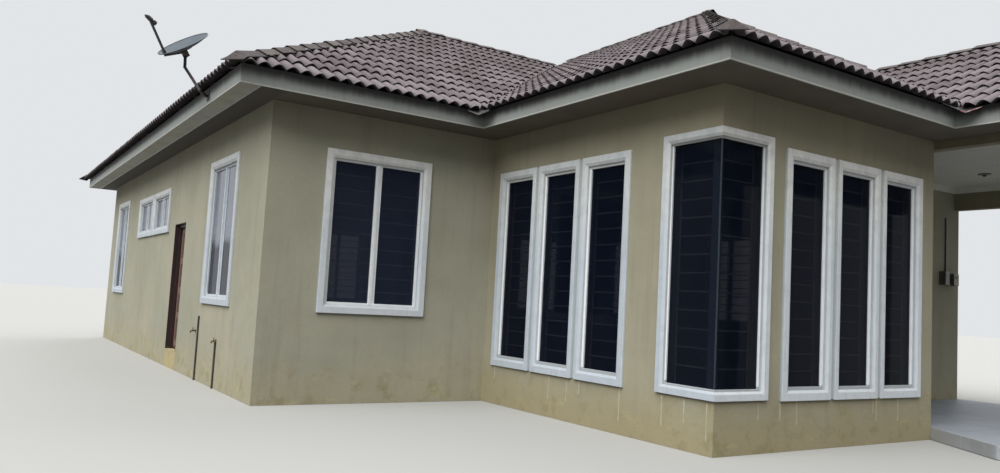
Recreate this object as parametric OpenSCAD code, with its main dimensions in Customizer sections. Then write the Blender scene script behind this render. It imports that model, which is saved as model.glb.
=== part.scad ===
// Single-storey bungalow with a hipped tile roof, a forward bay and a corner porch.
// X runs right along the front, Y runs away from the front, Z is up, in millimetres.
// The origin is at ground level, where the centre lines of the left and front walls cross.

/* [Plan] */
// Thickness of the plastered outer walls
wall_t = 150; // [120:5:200]
// Width of the front wall, from the left corner to the bay
front_w = 3230; // [2800:10:3800]
// How far the bay stands forward of the front wall
bay_d = 4220; // [4100:10:4800]
// Width of the bay
bay_w = 3860; // [3700:10:4400]
// Distance from the bay's front back to the porch's rear wall
porch_in = 2020; // [1700:10:2600]
// Width of the porch, to the outer face of the right wall
porch_w = 4510; // [4200:10:5200]
// Distance from the porch's rear wall to its front beam
porch_d = 5500; // [4200:10:6500]
// Depth of the main block, and width of the rear wing
main_w = 7900; // [7400:10:8300]
// Length of the left wall
house_d = 12420; // [12200:10:14000]

/* [Heights] */
// Top of the house floor above the ground
floor_z = 294; // [200:1:400]
// Thickness of the house floor slab
floor_t = 125; // [100:5:160]
// Top of the porch floor above the ground
porch_z = 150; // [100:5:180]
// Underside of the eaves soffit
soffit_z = 3693; // [3550:1:3900]
// Underside of the porch ceiling
porch_ceil_z = 3800; // [3760:5:3900]
// Underside of the left and front porch beams
beam_z = 3590; // [3400:5:3640]
// Underside of the right porch beam
right_beam_z = 3430; // [3300:5:3600]

/* [Roof] */
// Slope of every roof face, in degrees
pitch = 28.8; // [24:0.1:34]
// Overhang of the tiles beyond the walls
eave = 680; // [560:5:760]
// Distance that the tiles reach past the fascia
drip = 120; // [80:5:140]
// Thickness of the tiled roof faces
tile_t = 22; // [15:1:35]
// Thickness of the fascia boards
fascia_t = 20; // [15:1:30]
// Visible height of the fascia boards
fascia_h = 220; // [200:1:300]
// Thickness of the soffit and ceiling boards
board_t = 9; // [6:1:16]
// Width of the ridge and hip caps
cap_w = 250; // [200:5:300]
// Height of the ridge and hip caps above the roof line
cap_h = 70; // [50:5:110]

/* [Windows] */
// Width of the moulded surround round each opening
trim_w = 105; // [90:5:150]
// How far the surrounds stand out from the wall
trim_out = 40; // [25:1:60]
// Depth of the window frames behind the wall's face
reveal = 15; // [10:5:60]
// Width of the aluminium frame members
bar_w = 40; // [30:1:60]
// Width of the bar between two panes
mid_w = 95; // [60:5:110]
// Width of the frame round the glazed corner
corner_bar = 15; // [12:1:40]
// Depth of the aluminium frame members
bar_d = 45; // [35:1:70]
// Thickness of the window glass
glass_t = 6; // [4:1:10]
// Outer width of a tall window's surround on the bay's side
tall_w = 898; // [800:2:920]
// Outer width of a tall window's surround on the bay's front
front_tall_w = 870; // [800:2:900]
// Clear wall behind the tall windows on the bay's side
tall_side_gap = 231; // [180:1:300]
// Clear wall between the bay's left side and the tall windows on its front
tall_front_gap = 967; // [930:1:1100]
// Bottom of the tall windows' surrounds
tall_z = 510; // [450:5:700]
// Height of the tall windows' surrounds
tall_h = 2680; // [2300:10:2800]
// Outer width of a two-pane window's surround
pair_w = 1516; // [1300:2:1700]
// Distance from the left corner to the middle of the front two-pane window
front_pair_x = 1472; // [1400:2:1600]
// Distance from the front corner to the middle of the near two-pane window
near_pair_y = 1975; // [1800:5:2400]
// Distance from the rear corner to the middle of the far two-pane window
far_pair_y = 1700; // [1200:5:2200]
// Bottom of the two-pane windows' surrounds
pair_z = 1120; // [900:5:1300]
// Height of the two-pane windows' surrounds
pair_h = 2100; // [1800:2:2250]
// Outer width of a high window's surround
high_w = 1550; // [1400:10:1700]
// Distance from the side doorway to the high windows
high_y = 500; // [300:5:600]
// Bottom of the high windows' surrounds
high_z = 2290; // [2150:10:2400]
// Height of the high windows' surrounds
high_h = 820; // [700:10:900]
// Width of the high windows' surrounds
high_trim = 105; // [80:5:130]
// Length of the corner window along the bay's left side
corner_side_w = 801; // [700:1:900]
// Length of the corner window along the bay's front
corner_front_w = 771; // [700:1:860]
// Bottom of the corner window's surround
corner_z = 525; // [450:5:700]
// Height of the corner window's surround
corner_h = 2737; // [2300:1:2800]

/* [Doors] */
// Distance from the front corner to the side doorway
door_y = 4245; // [3900:5:4500]
// Width of the side doorway in the wall
door_w = 800; // [760:5:950]
// Height of the side doorway above the house floor
door_h = 2120; // [2000:5:2250]
// Width of the timber door frame members
jamb_w = 45; // [35:1:60]
// Thickness of the side door's leaf
leaf_t = 40; // [32:1:45]
// Clearance round the side door's leaf
door_gap = 8; // [6:1:10]
// Diameter of the hinge knuckles
hinge_d = 14; // [12:1:20]
// Height of each of the three parts of a hinge's knuckle
hinge_h = 34; // [25:1:40]
// Diameter of the hinge pins
pin_d = 6; // [5:1:8]
// Width of the entrance doorway
entry_w = 1800; // [1600:10:2000]
// Distance from the bay's right side to the entrance doorway
entry_x = 800; // [600:10:1100]

/* [Porch] */
// Side of the square porch columns
column_w = 300; // [240:10:400]
// Thickness of the porch beams
beam_t = 150; // [120:5:200]
// Size of the coving round the porch ceiling
coving = 80; // [50:5:100]
// How far the porch step flares out to the left
flare_x = 700; // [500:10:900]
// Length of the porch step's flare
flare_y = 1090; // [800:10:1300]

/* [Fittings] */
// Diameter of the satellite dish
dish_d = 660; // [560:10:800]
// Depth of the satellite dish's curve
dish_sag = 70; // [50:5:90]
// Thickness of the satellite dish
dish_t = 5; // [3:1:8]
// Distance from the front corner to the middle of the dish
dish_y = 1080; // [900:10:1400]
// Diameter of the dish's mast
mast_d = 38; // [30:1:48]

/* [Hidden] */

// A joint between neighbouring boards, just open so that each stays a board of its own
slit = 0.6;
// Reach of a cutting shape past what it cuts
over = 10;
// Reach of the large cutting planes
far = 40000;

plaster = [0.53, 0.51, 0.42];
white_trim = [0.9, 0.9, 0.89];
grey_board = [0.68, 0.7, 0.68];
tile_grey = [0.36, 0.32, 0.31];
dark_glass = [0.08, 0.1, 0.13];
timber = [0.24, 0.15, 0.1];
dark_steel = [0.2, 0.2, 0.21];

// The outer faces of the walls, named by where they stand
left_x = -wall_t / 2;
front_y = -wall_t / 2;
bay_x = left_x + front_w;
bay_y = front_y - bay_d;
bay_right_x = bay_x + bay_w;
porch_rear_y = bay_y + porch_in;
porch_front_y = porch_rear_y - porch_d;
right_x = bay_right_x + porch_w;
main_y = front_y + main_w;
wing_x = left_x + main_w;
rear_y = front_y + house_d;

house = [[left_x, front_y], [bay_x, front_y], [bay_x, bay_y], [bay_right_x, bay_y],
    [bay_right_x, porch_rear_y], [right_x, porch_rear_y], [right_x, main_y],
    [wing_x, main_y], [wing_x, rear_y], [left_x, rear_y]];
roofed = [[left_x, front_y], [bay_x, front_y], [bay_x, bay_y], [bay_right_x, bay_y],
    [bay_right_x, porch_front_y], [right_x, porch_front_y], [right_x, main_y],
    [wing_x, main_y], [wing_x, rear_y], [left_x, rear_y]];

// Heights that follow from the roof slope
rise = tan(pitch);
tile_drop = tile_t / cos(pitch);
fascia_top = soffit_z + fascia_h;
bed_z = fascia_top + tile_drop - drip * rise;
porch_wall_top = porch_ceil_z + board_t;
door_top = floor_z + door_h;

// Turns that face a window's local frame to the front, left, rear or right
face_front = 0;
face_left = -90;
face_rear = 180;
face_right = 90;

// Points of an outline with square corners, moved in by a distance
function unit(v) = v / norm(v);
function inward(v) = [-v[1], v[0]];
function moved_in(pts, d) = [for (i = [0 : len(pts) - 1])
    let (n = len(pts), before = unit(pts[i] - pts[(i + n - 1) % n]),
        after = unit(pts[(i + 1) % n] - pts[i]))
    pts[i] + (inward(before) + inward(after)) * d];

// A plate with the given outline, from one height to another
module plate(pts, z0, z1) {
    translate([0, 0, z0]) linear_extrude(z1 - z0) polygon(pts);
}

// A box between two corners
module block(low, high) {
    translate(low) cube(high - low);
}

// Boards that follow an outline between two inward distances, with mitred ends
module boards(pts, d0, d1, z0, z1) {
    outer = moved_in(pts, d0);
    inner = moved_in(pts, d1);
    n = len(pts);
    for (i = [0 : n - 1]) {
        j = (i + 1) % n;
        nip = unit(pts[j] - pts[i]) * slit;
        plate([outer[i] + nip, outer[j] - nip, inner[j] - nip, inner[i] + nip], z0, z1);
    }
}

// A window: place on the wall's outer face, turn, surround width and height, panes across
function window(x, y, turn, w, z, h, trim, panes) = [x, y, turn, w, z, h, trim, panes];
function pair_window(x, y, turn) = window(x, y, turn, pair_w, pair_z, pair_h, trim_w, 2);
function tall_window(x, y, turn, w) = window(x, y, turn, w, tall_z, tall_h, trim_w, 1);
function high_window(x, y, turn) = window(x, y, turn, high_w, high_z, high_h, high_trim, 2);

// The tall windows stand in threes, and the hidden walls' windows are spread evenly
tall_count = 3;
side_count = 3;
wing_count = 2;
high_first_y = front_y + door_y + door_w + high_y + high_w / 2;
left_windows = [
    pair_window(left_x, front_y + near_pair_y, face_left),
    high_window(left_x, high_first_y, face_left),
    high_window(left_x, high_first_y + high_w, face_left),
    pair_window(left_x, rear_y - far_pair_y, face_left)];
front_windows = concat(
    [pair_window(left_x + front_pair_x, front_y, face_front)],
    [for (i = [0 : tall_count - 1])
        tall_window(bay_x, front_y - tall_side_gap - (i + 0.5) * tall_w, face_left, tall_w)],
    [for (i = [0 : tall_count - 1])
        tall_window(bay_x + tall_front_gap + (i + 0.5) * front_tall_w, bay_y, face_front,
            front_tall_w)]);
rear_windows = concat(
    [for (i = [0 : side_count - 1]) pair_window(right_x,
        porch_rear_y + (i + 0.5) * (main_y - porch_rear_y) / side_count, face_right)],
    [for (i = [0 : wing_count - 1]) pair_window(
        left_x + (i + 0.5) * (wing_x - left_x) / wing_count, rear_y, face_rear)],
    [pair_window((wing_x + right_x) / 2, main_y, face_rear),
        pair_window(wing_x, (main_y + rear_y) / 2, face_right)]);

// Puts children on a wall: local x runs right, y into the wall, z up from the ground
module on_wall(w) {
    translate([w[0], w[1], 0]) rotate([0, 0, w[2]]) children();
}

// A surround's outer band is this share of its width, and its inner bead stands out beyond it
band_share = 0.75;
band_out = 0.9;

// The width of each of a window's panes
function pane_w(w) = (w[3] - 2 * (w[6] + bar_w) - (w[7] - 1) * mid_w) / w[7];

module window_cut(w) {
    half = w[3] / 2 - w[6];
    on_wall(w) block([-half, -over, w[4] + w[6]], [half, wall_t + over, w[4] + w[5] - w[6]]);
}

module window_surround(w) {
    half = w[3] / 2 - slit;
    hole = w[3] / 2 - w[6];
    step = w[6] * band_share;
    on_wall(w) difference() {
        union() {
            block([-half, -trim_out * band_out, w[4]], [half, 0, w[4] + w[5]]);
            block([-half + step, -trim_out, w[4] + step],
                [half - step, 0, w[4] + w[5] - step]);
        }
        block([-hole, -trim_out - over, w[4] + w[6]], [hole, over, w[4] + w[5] - w[6]]);
    }
}

module window_frame(w) {
    half = w[3] / 2 - w[6];
    z0 = w[4] + w[6];
    z1 = w[4] + w[5] - w[6];
    on_wall(w) difference() {
        block([-half, reveal, z0], [half, reveal + bar_d, z1]);
        for (i = [0 : w[7] - 1]) {
            pane = pane_w(w);
            x0 = -half + bar_w + i * (pane + mid_w);
            block([x0, reveal - over, z0 + bar_w], [x0 + pane, reveal + bar_d + over, z1 - bar_w]);
        }
    }
}

module window_glass(w) {
    half = w[3] / 2 - w[6];
    z0 = w[4] + w[6] + bar_w;
    z1 = w[4] + w[5] - w[6] - bar_w;
    mid = reveal + bar_d / 2;
    on_wall(w) for (i = [0 : w[7] - 1]) {
        pane = pane_w(w);
        x0 = -half + bar_w + i * (pane + mid_w);
        block([x0, mid - glass_t / 2, z0], [x0 + pane, mid + glass_t / 2, z1]);
    }
}

// The corner window wraps the bay's front left corner with no post in its glass
corner_top = corner_z + corner_h;

module corner_leg(d0, d1, cut, z0, z1) {
    block([bay_x + d0, bay_y + d0, z0], [bay_x + d1, bay_y + corner_side_w - cut, z1]);
    block([bay_x + d0, bay_y + d0, z0], [bay_x + corner_front_w - cut, bay_y + d1, z1]);
}

module corner_cut() {
    corner_leg(-over, wall_t + over, trim_w, corner_z + trim_w, corner_top - trim_w);
}

module corner_surround() {
    step = trim_w * band_share;
    difference() {
        union() {
            corner_leg(-trim_out * band_out, 0, 0, corner_z, corner_top);
            corner_leg(-trim_out, 0, step, corner_z + step, corner_top - step);
        }
        corner_cut();
        corner_leg(-trim_out - over, 0, trim_w, corner_z + trim_w, corner_top - trim_w);
    }
}

module corner_frame() {
    z0 = corner_z + trim_w;
    z1 = corner_top - trim_w;
    difference() {
        corner_leg(reveal, reveal + bar_d, trim_w, z0, z1);
        corner_leg(reveal - over, reveal + bar_d + over, trim_w + corner_bar,
            z0 + corner_bar, z1 - corner_bar);
    }
}

module corner_glass() {
    mid = reveal + bar_d / 2;
    corner_leg(mid - glass_t / 2, mid + glass_t / 2, trim_w + corner_bar,
        corner_z + trim_w + corner_bar, corner_top - trim_w - corner_bar);
}

module left_wall_front() {
    color(plaster) difference() {
        block([left_x, front_y, 0], [left_x + wall_t, front_y + door_y, soffit_z]);
        for (w = left_windows) window_cut(w);
    }
}

module left_wall_rear() {
    color(plaster) difference() {
        block([left_x, front_y + door_y + door_w, 0], [left_x + wall_t, rear_y, soffit_z]);
        for (w = left_windows) window_cut(w);
    }
}

module left_wall_at_door() {
    y0 = front_y + door_y;
    color(plaster) {
        block([left_x, y0, 0], [left_x + wall_t, y0 + door_w, floor_z]);
        block([left_x, y0, door_top], [left_x + wall_t, y0 + door_w, soffit_z]);
    }
}

module front_wall() {
    color(plaster) difference() {
        block([left_x + wall_t, front_y, 0], [bay_x, front_y + wall_t, soffit_z]);
        window_cut(front_windows[0]);
    }
}

module bay_side_wall() {
    color(plaster) difference() {
        block([bay_x, bay_y + wall_t, 0], [bay_x + wall_t, front_y + wall_t, soffit_z]);
        for (i = [1 : tall_count]) window_cut(front_windows[i]);
        corner_cut();
    }
}

module bay_front_wall() {
    color(plaster) difference() {
        block([bay_x, bay_y, 0], [bay_right_x, bay_y + wall_t, soffit_z]);
        for (i = [1 : tall_count]) window_cut(front_windows[tall_count + i]);
        corner_cut();
    }
}

module bay_right_wall() {
    color(plaster) block([bay_right_x - wall_t, bay_y + wall_t, 0],
        [bay_right_x, porch_rear_y, porch_wall_top]);
}

module porch_rear_wall() {
    x0 = bay_right_x + entry_x;
    color(plaster) difference() {
        block([bay_right_x - wall_t, porch_rear_y, 0],
            [right_x, porch_rear_y + wall_t, porch_wall_top]);
        block([x0, porch_rear_y - over, floor_z], [x0 + entry_w, porch_rear_y + wall_t + over, door_top]);
    }
}

module right_walls() {
    color(plaster) difference() {
        union() {
            block([right_x - wall_t, porch_rear_y + wall_t, 0], [right_x, main_y, soffit_z]);
            block([wing_x - wall_t, main_y, 0], [wing_x, rear_y - wall_t, soffit_z]);
        }
        for (w = rear_windows) if (w[2] == face_right) window_cut(w);
    }
}

module rear_walls() {
    color(plaster) difference() {
        union() {
            block([wing_x - wall_t, main_y - wall_t, 0], [right_x - wall_t, main_y, soffit_z]);
            block([left_x + wall_t, rear_y - wall_t, 0], [wing_x, rear_y, soffit_z]);
        }
        for (w = rear_windows) if (w[2] == face_rear) window_cut(w);
    }
}

module house_floor() {
    color("lightgrey") plate(moved_in(house, wall_t), floor_z - floor_t, floor_z);
}

// The porch floor flares out to the left in front of the bay
module porch_floor() {
    color([0.75, 0.76, 0.78]) plate([[bay_right_x - slit, bay_y - slit],
        [bay_right_x - flare_x, bay_y - flare_y], [bay_right_x - flare_x, porch_front_y],
        [right_x, porch_front_y], [right_x, porch_rear_y], [bay_right_x, porch_rear_y],
        [bay_right_x, bay_y - slit]], 0, porch_z);
}

module house_ceiling() {
    color("white") plate(moved_in(house, wall_t), soffit_z - board_t, soffit_z);
}

module coving_run(length) {
    rotate([90, 0, 90]) linear_extrude(length) polygon([[0, 0], [coving, 0], [0, -coving]]);
}

module porch_ceiling() {
    x0 = bay_right_x + beam_t;
    x1 = right_x - beam_t;
    y0 = porch_front_y + beam_t;
    color("white") {
        block([x0, y0, porch_ceil_z], [x1, porch_rear_y, porch_wall_top]);
        translate([x0, y0, porch_ceil_z]) coving_run(x1 - x0);
        translate([x1, porch_rear_y, porch_ceil_z]) rotate([0, 0, 180]) coving_run(x1 - x0);
        translate([x1, y0, porch_ceil_z]) rotate([0, 0, 90]) coving_run(porch_rear_y - y0);
        translate([x0, porch_rear_y, porch_ceil_z]) rotate([0, 0, -90])
            coving_run(porch_rear_y - y0);
    }
}

module porch_columns() {
    color(plaster) for (x = [bay_right_x, right_x - column_w])
        block([x, porch_front_y, porch_z], [x + column_w, porch_front_y + column_w, right_beam_z]);
}

module porch_beams() {
    color(plaster) {
        block([bay_right_x, porch_front_y, beam_z],
            [bay_right_x + beam_t, porch_rear_y, porch_wall_top]);
        block([right_x - beam_t, porch_front_y, right_beam_z],
            [right_x, porch_rear_y, porch_wall_top]);
        block([bay_right_x, porch_front_y, beam_z],
            [right_x, porch_front_y + beam_t, porch_wall_top]);
        block([bay_right_x, porch_front_y, right_beam_z],
            [bay_right_x + column_w, porch_front_y + column_w, beam_z]);
    }
}

module soffit() {
    color(grey_board) boards(moved_in(roofed, -eave), drip + fascia_t + slit, eave,
        soffit_z, soffit_z + board_t);
}

module fascia() {
    color(grey_board) boards(moved_in(roofed, -eave), drip, drip + fascia_t, soffit_z, fascia_top);
}

// The roof is the upper surface of four hipped blocks. A block is its eaves rectangle, as
// [left, front, right, rear], and its sides are numbered in that order.
function side_n(s) = [[1, 0], [0, 1], [-1, 0], [0, -1]][s];
function side_d(b, s) = [b[0], b[1], -b[2], -b[3]][s];

eave_left = left_x - eave;
eave_right = right_x + eave;
main_block = [eave_left, front_y - eave, eave_right, main_y + eave];
wing_block = [eave_left, front_y - eave, wing_x + eave, rear_y + eave];
bay_block = [bay_x - eave, bay_y - eave, eave_right, main_y + eave];
porch_block = [bay_right_x - eave, porch_front_y - eave, eave_right, main_y + eave];

// What is left of a convex outline on the side of a line where n * p is at most d
function clipped(pts, n, d) = [for (i = [0 : len(pts) - 1])
    let (a = pts[i], b = pts[(i + 1) % len(pts)], da = n * a - d, db = n * b - d)
    each concat(da <= 0 ? [a] : [], da * db < 0 ? [a + (b - a) * da / (da - db)] : [])];

// Where one block's roof is at least as high as the face above another block's side
function higher(b, own, s, k = 0, pts = undef) =
    let (now = is_undef(pts) ? [[b[0], b[1]], [b[2], b[1]], [b[2], b[3]], [b[0], b[3]]] : pts)
    k == 4 || len(now) == 0 ? now
        : higher(b, own, s, k + 1,
            clipped(now, side_n(s) - side_n(k), side_d(own, s) - side_d(b, k)));

// A prism over an outline, or nothing where the outline is empty
module column_over(pts) {
    if (len(pts) > 2) plate(pts, 0, far / 2);
}

// The tiled face above one side of a block, less what the given blocks cover
module roof_face(own, s, covers) {
    n = side_n(s);
    color(tile_grey) intersection() {
        difference() {
            column_over(higher(own, own, s));
            for (b = covers) column_over(higher(b, own, s));
        }
        translate([n[0], n[1], 0] * side_d(own, s)) translate([0, 0, bed_z])
            rotate([0, 0, atan2(n[1], n[0])]) rotate([0, -pitch, 0])
                translate([-far / 2, -far / 2, -tile_t]) cube([far, far, tile_t]);
    }
}

module roof_left() {
    roof_face(wing_block, 0, []);
}

module roof_front() {
    roof_face(main_block, 1, [bay_block]);
}

module roof_bay_left() {
    roof_face(bay_block, 0, [main_block]);
}

module roof_bay_front() {
    roof_face(bay_block, 1, [porch_block]);
}

module roof_porch_left() {
    roof_face(porch_block, 0, [bay_block]);
}

module roof_porch_front() {
    roof_face(porch_block, 1, []);
}

module roof_porch_right() {
    roof_face(porch_block, 2, [bay_block]);
}

module roof_right() {
    roof_face(bay_block, 2, []);
}

module roof_wing_right() {
    roof_face(wing_block, 2, [main_block]);
}

module roof_rear() {
    roof_face(main_block, 3, [wing_block]);
    roof_face(bay_block, 3, [main_block]);
    roof_face(wing_block, 3, []);
}

// Half the shorter side of a block, which is how far its ridge stands in from the eaves
function run(b) = min(b[2] - b[0], b[3] - b[1]) / 2;
function at(x, y, in) = [x, y, bed_z + in * rise];

main_peak = at(eave_left + run(main_block), front_y - eave + run(main_block), run(main_block));
main_join = at(bay_x - eave + run(main_block), main_peak[1], run(main_block));
wing_peak = at(main_peak[0], rear_y + eave - run(wing_block), run(wing_block));
bay_peak = at(bay_x - eave + run(bay_block), bay_y - eave + run(bay_block), run(bay_block));
bay_back = at(bay_peak[0], main_y + eave - run(bay_block), run(bay_block));
porch_peak = at(eave_right - run(porch_block), porch_front_y - eave + run(porch_block),
    run(porch_block));
porch_join = at(porch_peak[0], bay_y - eave + run(porch_block), run(porch_block));

// One run of caps along a roof line, cut back by a length at its start and end
module cap_run(a, b, cut_a, cut_b) {
    v = b - a;
    flat = norm([v[0], v[1]]);
    length = norm(v);
    dip = cap_w / 2 * rise * (v[2] == 0 ? 1 : sqrt(0.5) * flat / length);
    color(tile_grey) translate(a + [0, 0, cap_seat]) rotate([0, 0, atan2(v[1], v[0])])
        rotate([0, -atan2(v[2], flat), 0]) translate([cut_a, 0, 0]) rotate([90, 0, 90])
            linear_extrude(length - cut_a - cut_b)
                polygon([[-cap_w / 2, -dip], [0, 0], [cap_w / 2, -dip],
                    [cap_w / 2, -dip + cap_h / 3], [cap_w / 6, cap_h], [-cap_w / 6, cap_h],
                    [-cap_w / 2, -dip + cap_h / 3]]);
}

// Clearance of the caps above the tiles, and how far the lowest reach past the eaves corners
cap_seat = 0.3;
cap_out = 30;

// Two ridges meet in a corner at the main peak, and each gives way to the other's inner side
module main_ridge_caps() {
    half = cap_w / 2;
    x = main_peak[0];
    y = main_peak[1];
    top = main_peak[2] + cap_w;
    difference() {
        cap_run(main_peak, wing_peak, -half, -half);
        block([x, y - half - over, 0], [x + half + over, y + half, top]);
    }
    difference() {
        cap_run(main_peak, main_join, slit, half);
        block([x - over, y, 0], [x + half, y + half + over, top]);
    }
}

module roof_caps() {
    corner_fl = at(eave_left, front_y - eave, 0);
    corner_rl = at(eave_left, rear_y + eave, 0);
    corner_rr = at(wing_x + eave, rear_y + eave, 0);
    corner_bay = at(bay_x - eave, bay_y - eave, 0);
    corner_pl = at(bay_right_x - eave, porch_front_y - eave, 0);
    corner_pr = at(eave_right, porch_front_y - eave, 0);
    corner_right = at(eave_right, main_y + eave, 0);
    half = cap_w / 2;
    foot = -cap_out;
    tip = cap_w * 0.78;
    color(tile_grey) main_ridge_caps();
    cap_run(bay_peak, bay_back, -half, -half);
    cap_run(porch_peak, porch_join, -half, half);
    cap_run(corner_fl, main_peak, foot, tip);
    cap_run(corner_rl, wing_peak, foot, tip);
    cap_run(corner_rr, wing_peak, foot, tip);
    cap_run(corner_bay, bay_peak, foot, tip);
    cap_run(porch_join, bay_peak, tip, tip);
    cap_run(corner_pl, porch_peak, foot, tip);
    cap_run(corner_pr, porch_peak, foot, tip);
    cap_run(corner_right, bay_back, foot, tip);
}

module left_window_surrounds() {
    color(white_trim) for (w = left_windows) window_surround(w);
}

module left_window_frames() {
    color(white_trim) for (w = left_windows) window_frame(w);
}

module left_window_glass() {
    color(dark_glass) for (w = left_windows) window_glass(w);
}

module front_window_surrounds() {
    color(white_trim) {
        for (w = front_windows) window_surround(w);
        corner_surround();
    }
}

module front_window_frames() {
    color(white_trim) {
        for (w = front_windows) window_frame(w);
        corner_frame();
    }
}

module front_window_glass() {
    color(dark_glass) {
        for (w = front_windows) window_glass(w);
        corner_glass();
    }
}

module rear_window_surrounds() {
    color(white_trim) for (w = rear_windows) window_surround(w);
}

module rear_window_frames() {
    color(white_trim) for (w = rear_windows) window_frame(w);
}

module rear_window_glass() {
    color(dark_glass) for (w = rear_windows) window_glass(w);
}

// The side door opens inward on three hinges at its rear edge, flush with the inner wall
leaf_x = left_x + wall_t - leaf_t;
stop_d = 35;
stop_w = 12;
frame_x = leaf_x - door_gap - stop_d;
jamb_y = front_y + door_y + door_w - jamb_w;
hinge_x = left_x + wall_t + hinge_d / 2;
hinge_y = jamb_y - door_gap / 2;
pin_play = 0.1;
hinge_play = 0.3;
hinge_plate_w = 38;
hinge_plate_t = 3;
hinge_in = 250;
hinge_count = 3;
hinge_step = (door_h - 2 * hinge_in - 3 * hinge_h) / (hinge_count - 1);
hinge_heights = [for (k = [0 : hinge_count - 1]) floor_z + hinge_in + k * hinge_step];

// One leaf plate of a hinge with its part of the knuckle, on the side given by dir
module hinge_half(dir, z0, z1, bore) {
    difference() {
        union() {
            translate([hinge_x, hinge_y, z0]) cylinder(d = hinge_d, h = z1 - z0, $fn = 48);
            block([hinge_x - hinge_d / 2, min(hinge_y, hinge_y + dir * hinge_plate_w), z0],
                [hinge_x - hinge_d / 2 + hinge_plate_t,
                    max(hinge_y, hinge_y + dir * hinge_plate_w), z1]);
        }
        if (bore > 0) translate([hinge_x, hinge_y, z0 - over])
            cylinder(d = bore, h = z1 - z0 + 2 * over, $fn = 48);
    }
}

module side_door_frame() {
    y0 = front_y + door_y;
    y1 = y0 + door_w;
    color(timber) {
        difference() {
            block([frame_x, y0, floor_z], [left_x + wall_t, y1, door_top]);
            block([frame_x + stop_d, y0 + jamb_w, floor_z - over],
                [left_x + wall_t + over, y1 - jamb_w, door_top - jamb_w]);
            block([frame_x - over, y0 + jamb_w + stop_w, floor_z - over],
                [left_x + wall_t + over, y1 - jamb_w - stop_w, door_top - jamb_w - stop_w]);
        }
        for (z = hinge_heights) {
            hinge_half(1, z, z + hinge_h, 0);
            hinge_half(1, z + 2 * hinge_h, z + 3 * hinge_h, 0);
            translate([hinge_x, hinge_y, z]) cylinder(d = pin_d, h = 3 * hinge_h, $fn = 48);
        }
    }
}

module side_door() {
    color(timber) {
        block([leaf_x, front_y + door_y + jamb_w + door_gap, floor_z + door_gap],
            [leaf_x + leaf_t, jamb_y - door_gap, door_top - jamb_w - door_gap]);
        for (z = hinge_heights) hinge_half(-1, z + hinge_h + hinge_play,
            z + 2 * hinge_h - hinge_play, pin_d + 2 * pin_play);
    }
}

module entrance_door() {
    x0 = bay_right_x + entry_x;
    y0 = porch_rear_y + reveal;
    mid = x0 + entry_w / 2;
    color(timber) {
        difference() {
            block([x0, porch_rear_y + reveal / 2, floor_z],
                [x0 + entry_w, porch_rear_y + wall_t, door_top]);
            block([x0 + jamb_w, porch_rear_y - over, floor_z - over],
                [x0 + entry_w - jamb_w, porch_rear_y + wall_t + over, door_top - jamb_w]);
        }
        block([x0 + jamb_w, y0, floor_z], [mid - slit, y0 + leaf_t, door_top - jamb_w]);
        block([mid + slit, y0, floor_z], [x0 + entry_w - jamb_w, y0 + leaf_t, door_top - jamb_w]);
    }
}

// The dish leans out over the eaves, and its receiver stands on an arm off its lower rim
dish_tilt = 39.4;
dish_turn = 25.3;
dish_x = eave_left - 191;
dish_z = fascia_top + 506;
dish_r = (dish_d * dish_d / 4 + dish_sag * dish_sag) / (2 * dish_sag);
rim_d = 14;
arm_foot = 318;
arm_l = 450;
arm_lean = 4.3;
arm_w = 24;
arm_beam_h = 28;
receiver_aim = 28.4;
receiver_d = 46;
receiver_l = 105;
horn_d = 62;
horn_l = 45;

// A round bar between two points
module bar(a, b, d) {
    v = b - a;
    translate(a) rotate([0, 0, atan2(v[1], v[0])])
        rotate([0, atan2(norm([v[0], v[1]]), v[2]), 0]) cylinder(d = d, h = norm(v), $fn = 32);
}

// Puts children on the dish: z points out along its axis from the middle of the bowl
module on_dish() {
    translate([dish_x, front_y + dish_y, dish_z]) rotate([0, 0, dish_turn])
        rotate([0, -dish_tilt, 0]) translate([0, 0, -dish_sag / 2]) children();
}

// Where a point of the dish's own frame, off to its lower side and behind it, comes to lie
function behind_dish(side, back) = [dish_x, front_y + dish_y, dish_z]
    - side * [cos(dish_tilt) * cos(dish_turn), cos(dish_tilt) * sin(dish_turn), sin(dish_tilt)]
    - back * [-sin(dish_tilt) * cos(dish_turn), -sin(dish_tilt) * sin(dish_turn), cos(dish_tilt)];

module dish() {
    a = asin(dish_d / 2 / dish_r);
    steps = 8;
    outer = [for (i = [0 : steps]) [dish_r * sin(a * i / steps), dish_r - dish_r * cos(a * i / steps)]];
    inner = [for (i = [steps : -1 : 0]) outer[i] + [0, dish_t]];
    foot_z = dish_r - sqrt(dish_r * dish_r - arm_foot * arm_foot) + dish_t / 2;
    beam_from = 2;
    beam_top = [for (i = [beam_from : steps]) [-outer[i][0], outer[i][1] + dish_t / 2]];
    color("silver") on_dish() {
        rotate_extrude($fn = 96) polygon(concat(outer, inner));
        rotate_extrude($fn = 96) translate([dish_d / 2, dish_sag + dish_t / 2]) circle(d = rim_d, $fn = 24);
        rotate([90, 0, 0]) translate([0, 0, -arm_w / 2]) linear_extrude(arm_w)
            polygon(concat(beam_top, [[-dish_d / 2 - rim_d / 2, dish_sag],
                [-dish_d / 2 - rim_d / 2, dish_sag - arm_beam_h], [beam_top[0][0], -arm_beam_h]]));
        translate([-arm_foot, 0, foot_z]) rotate([0, arm_lean, 0]) {
            translate([-arm_w / 2, -arm_w / 2, 0]) cube([arm_w, arm_w, arm_l]);
            translate([0, 0, arm_l]) rotate([0, 180 - receiver_aim - arm_lean, 0]) receiver();
        }
    }
}

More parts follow.
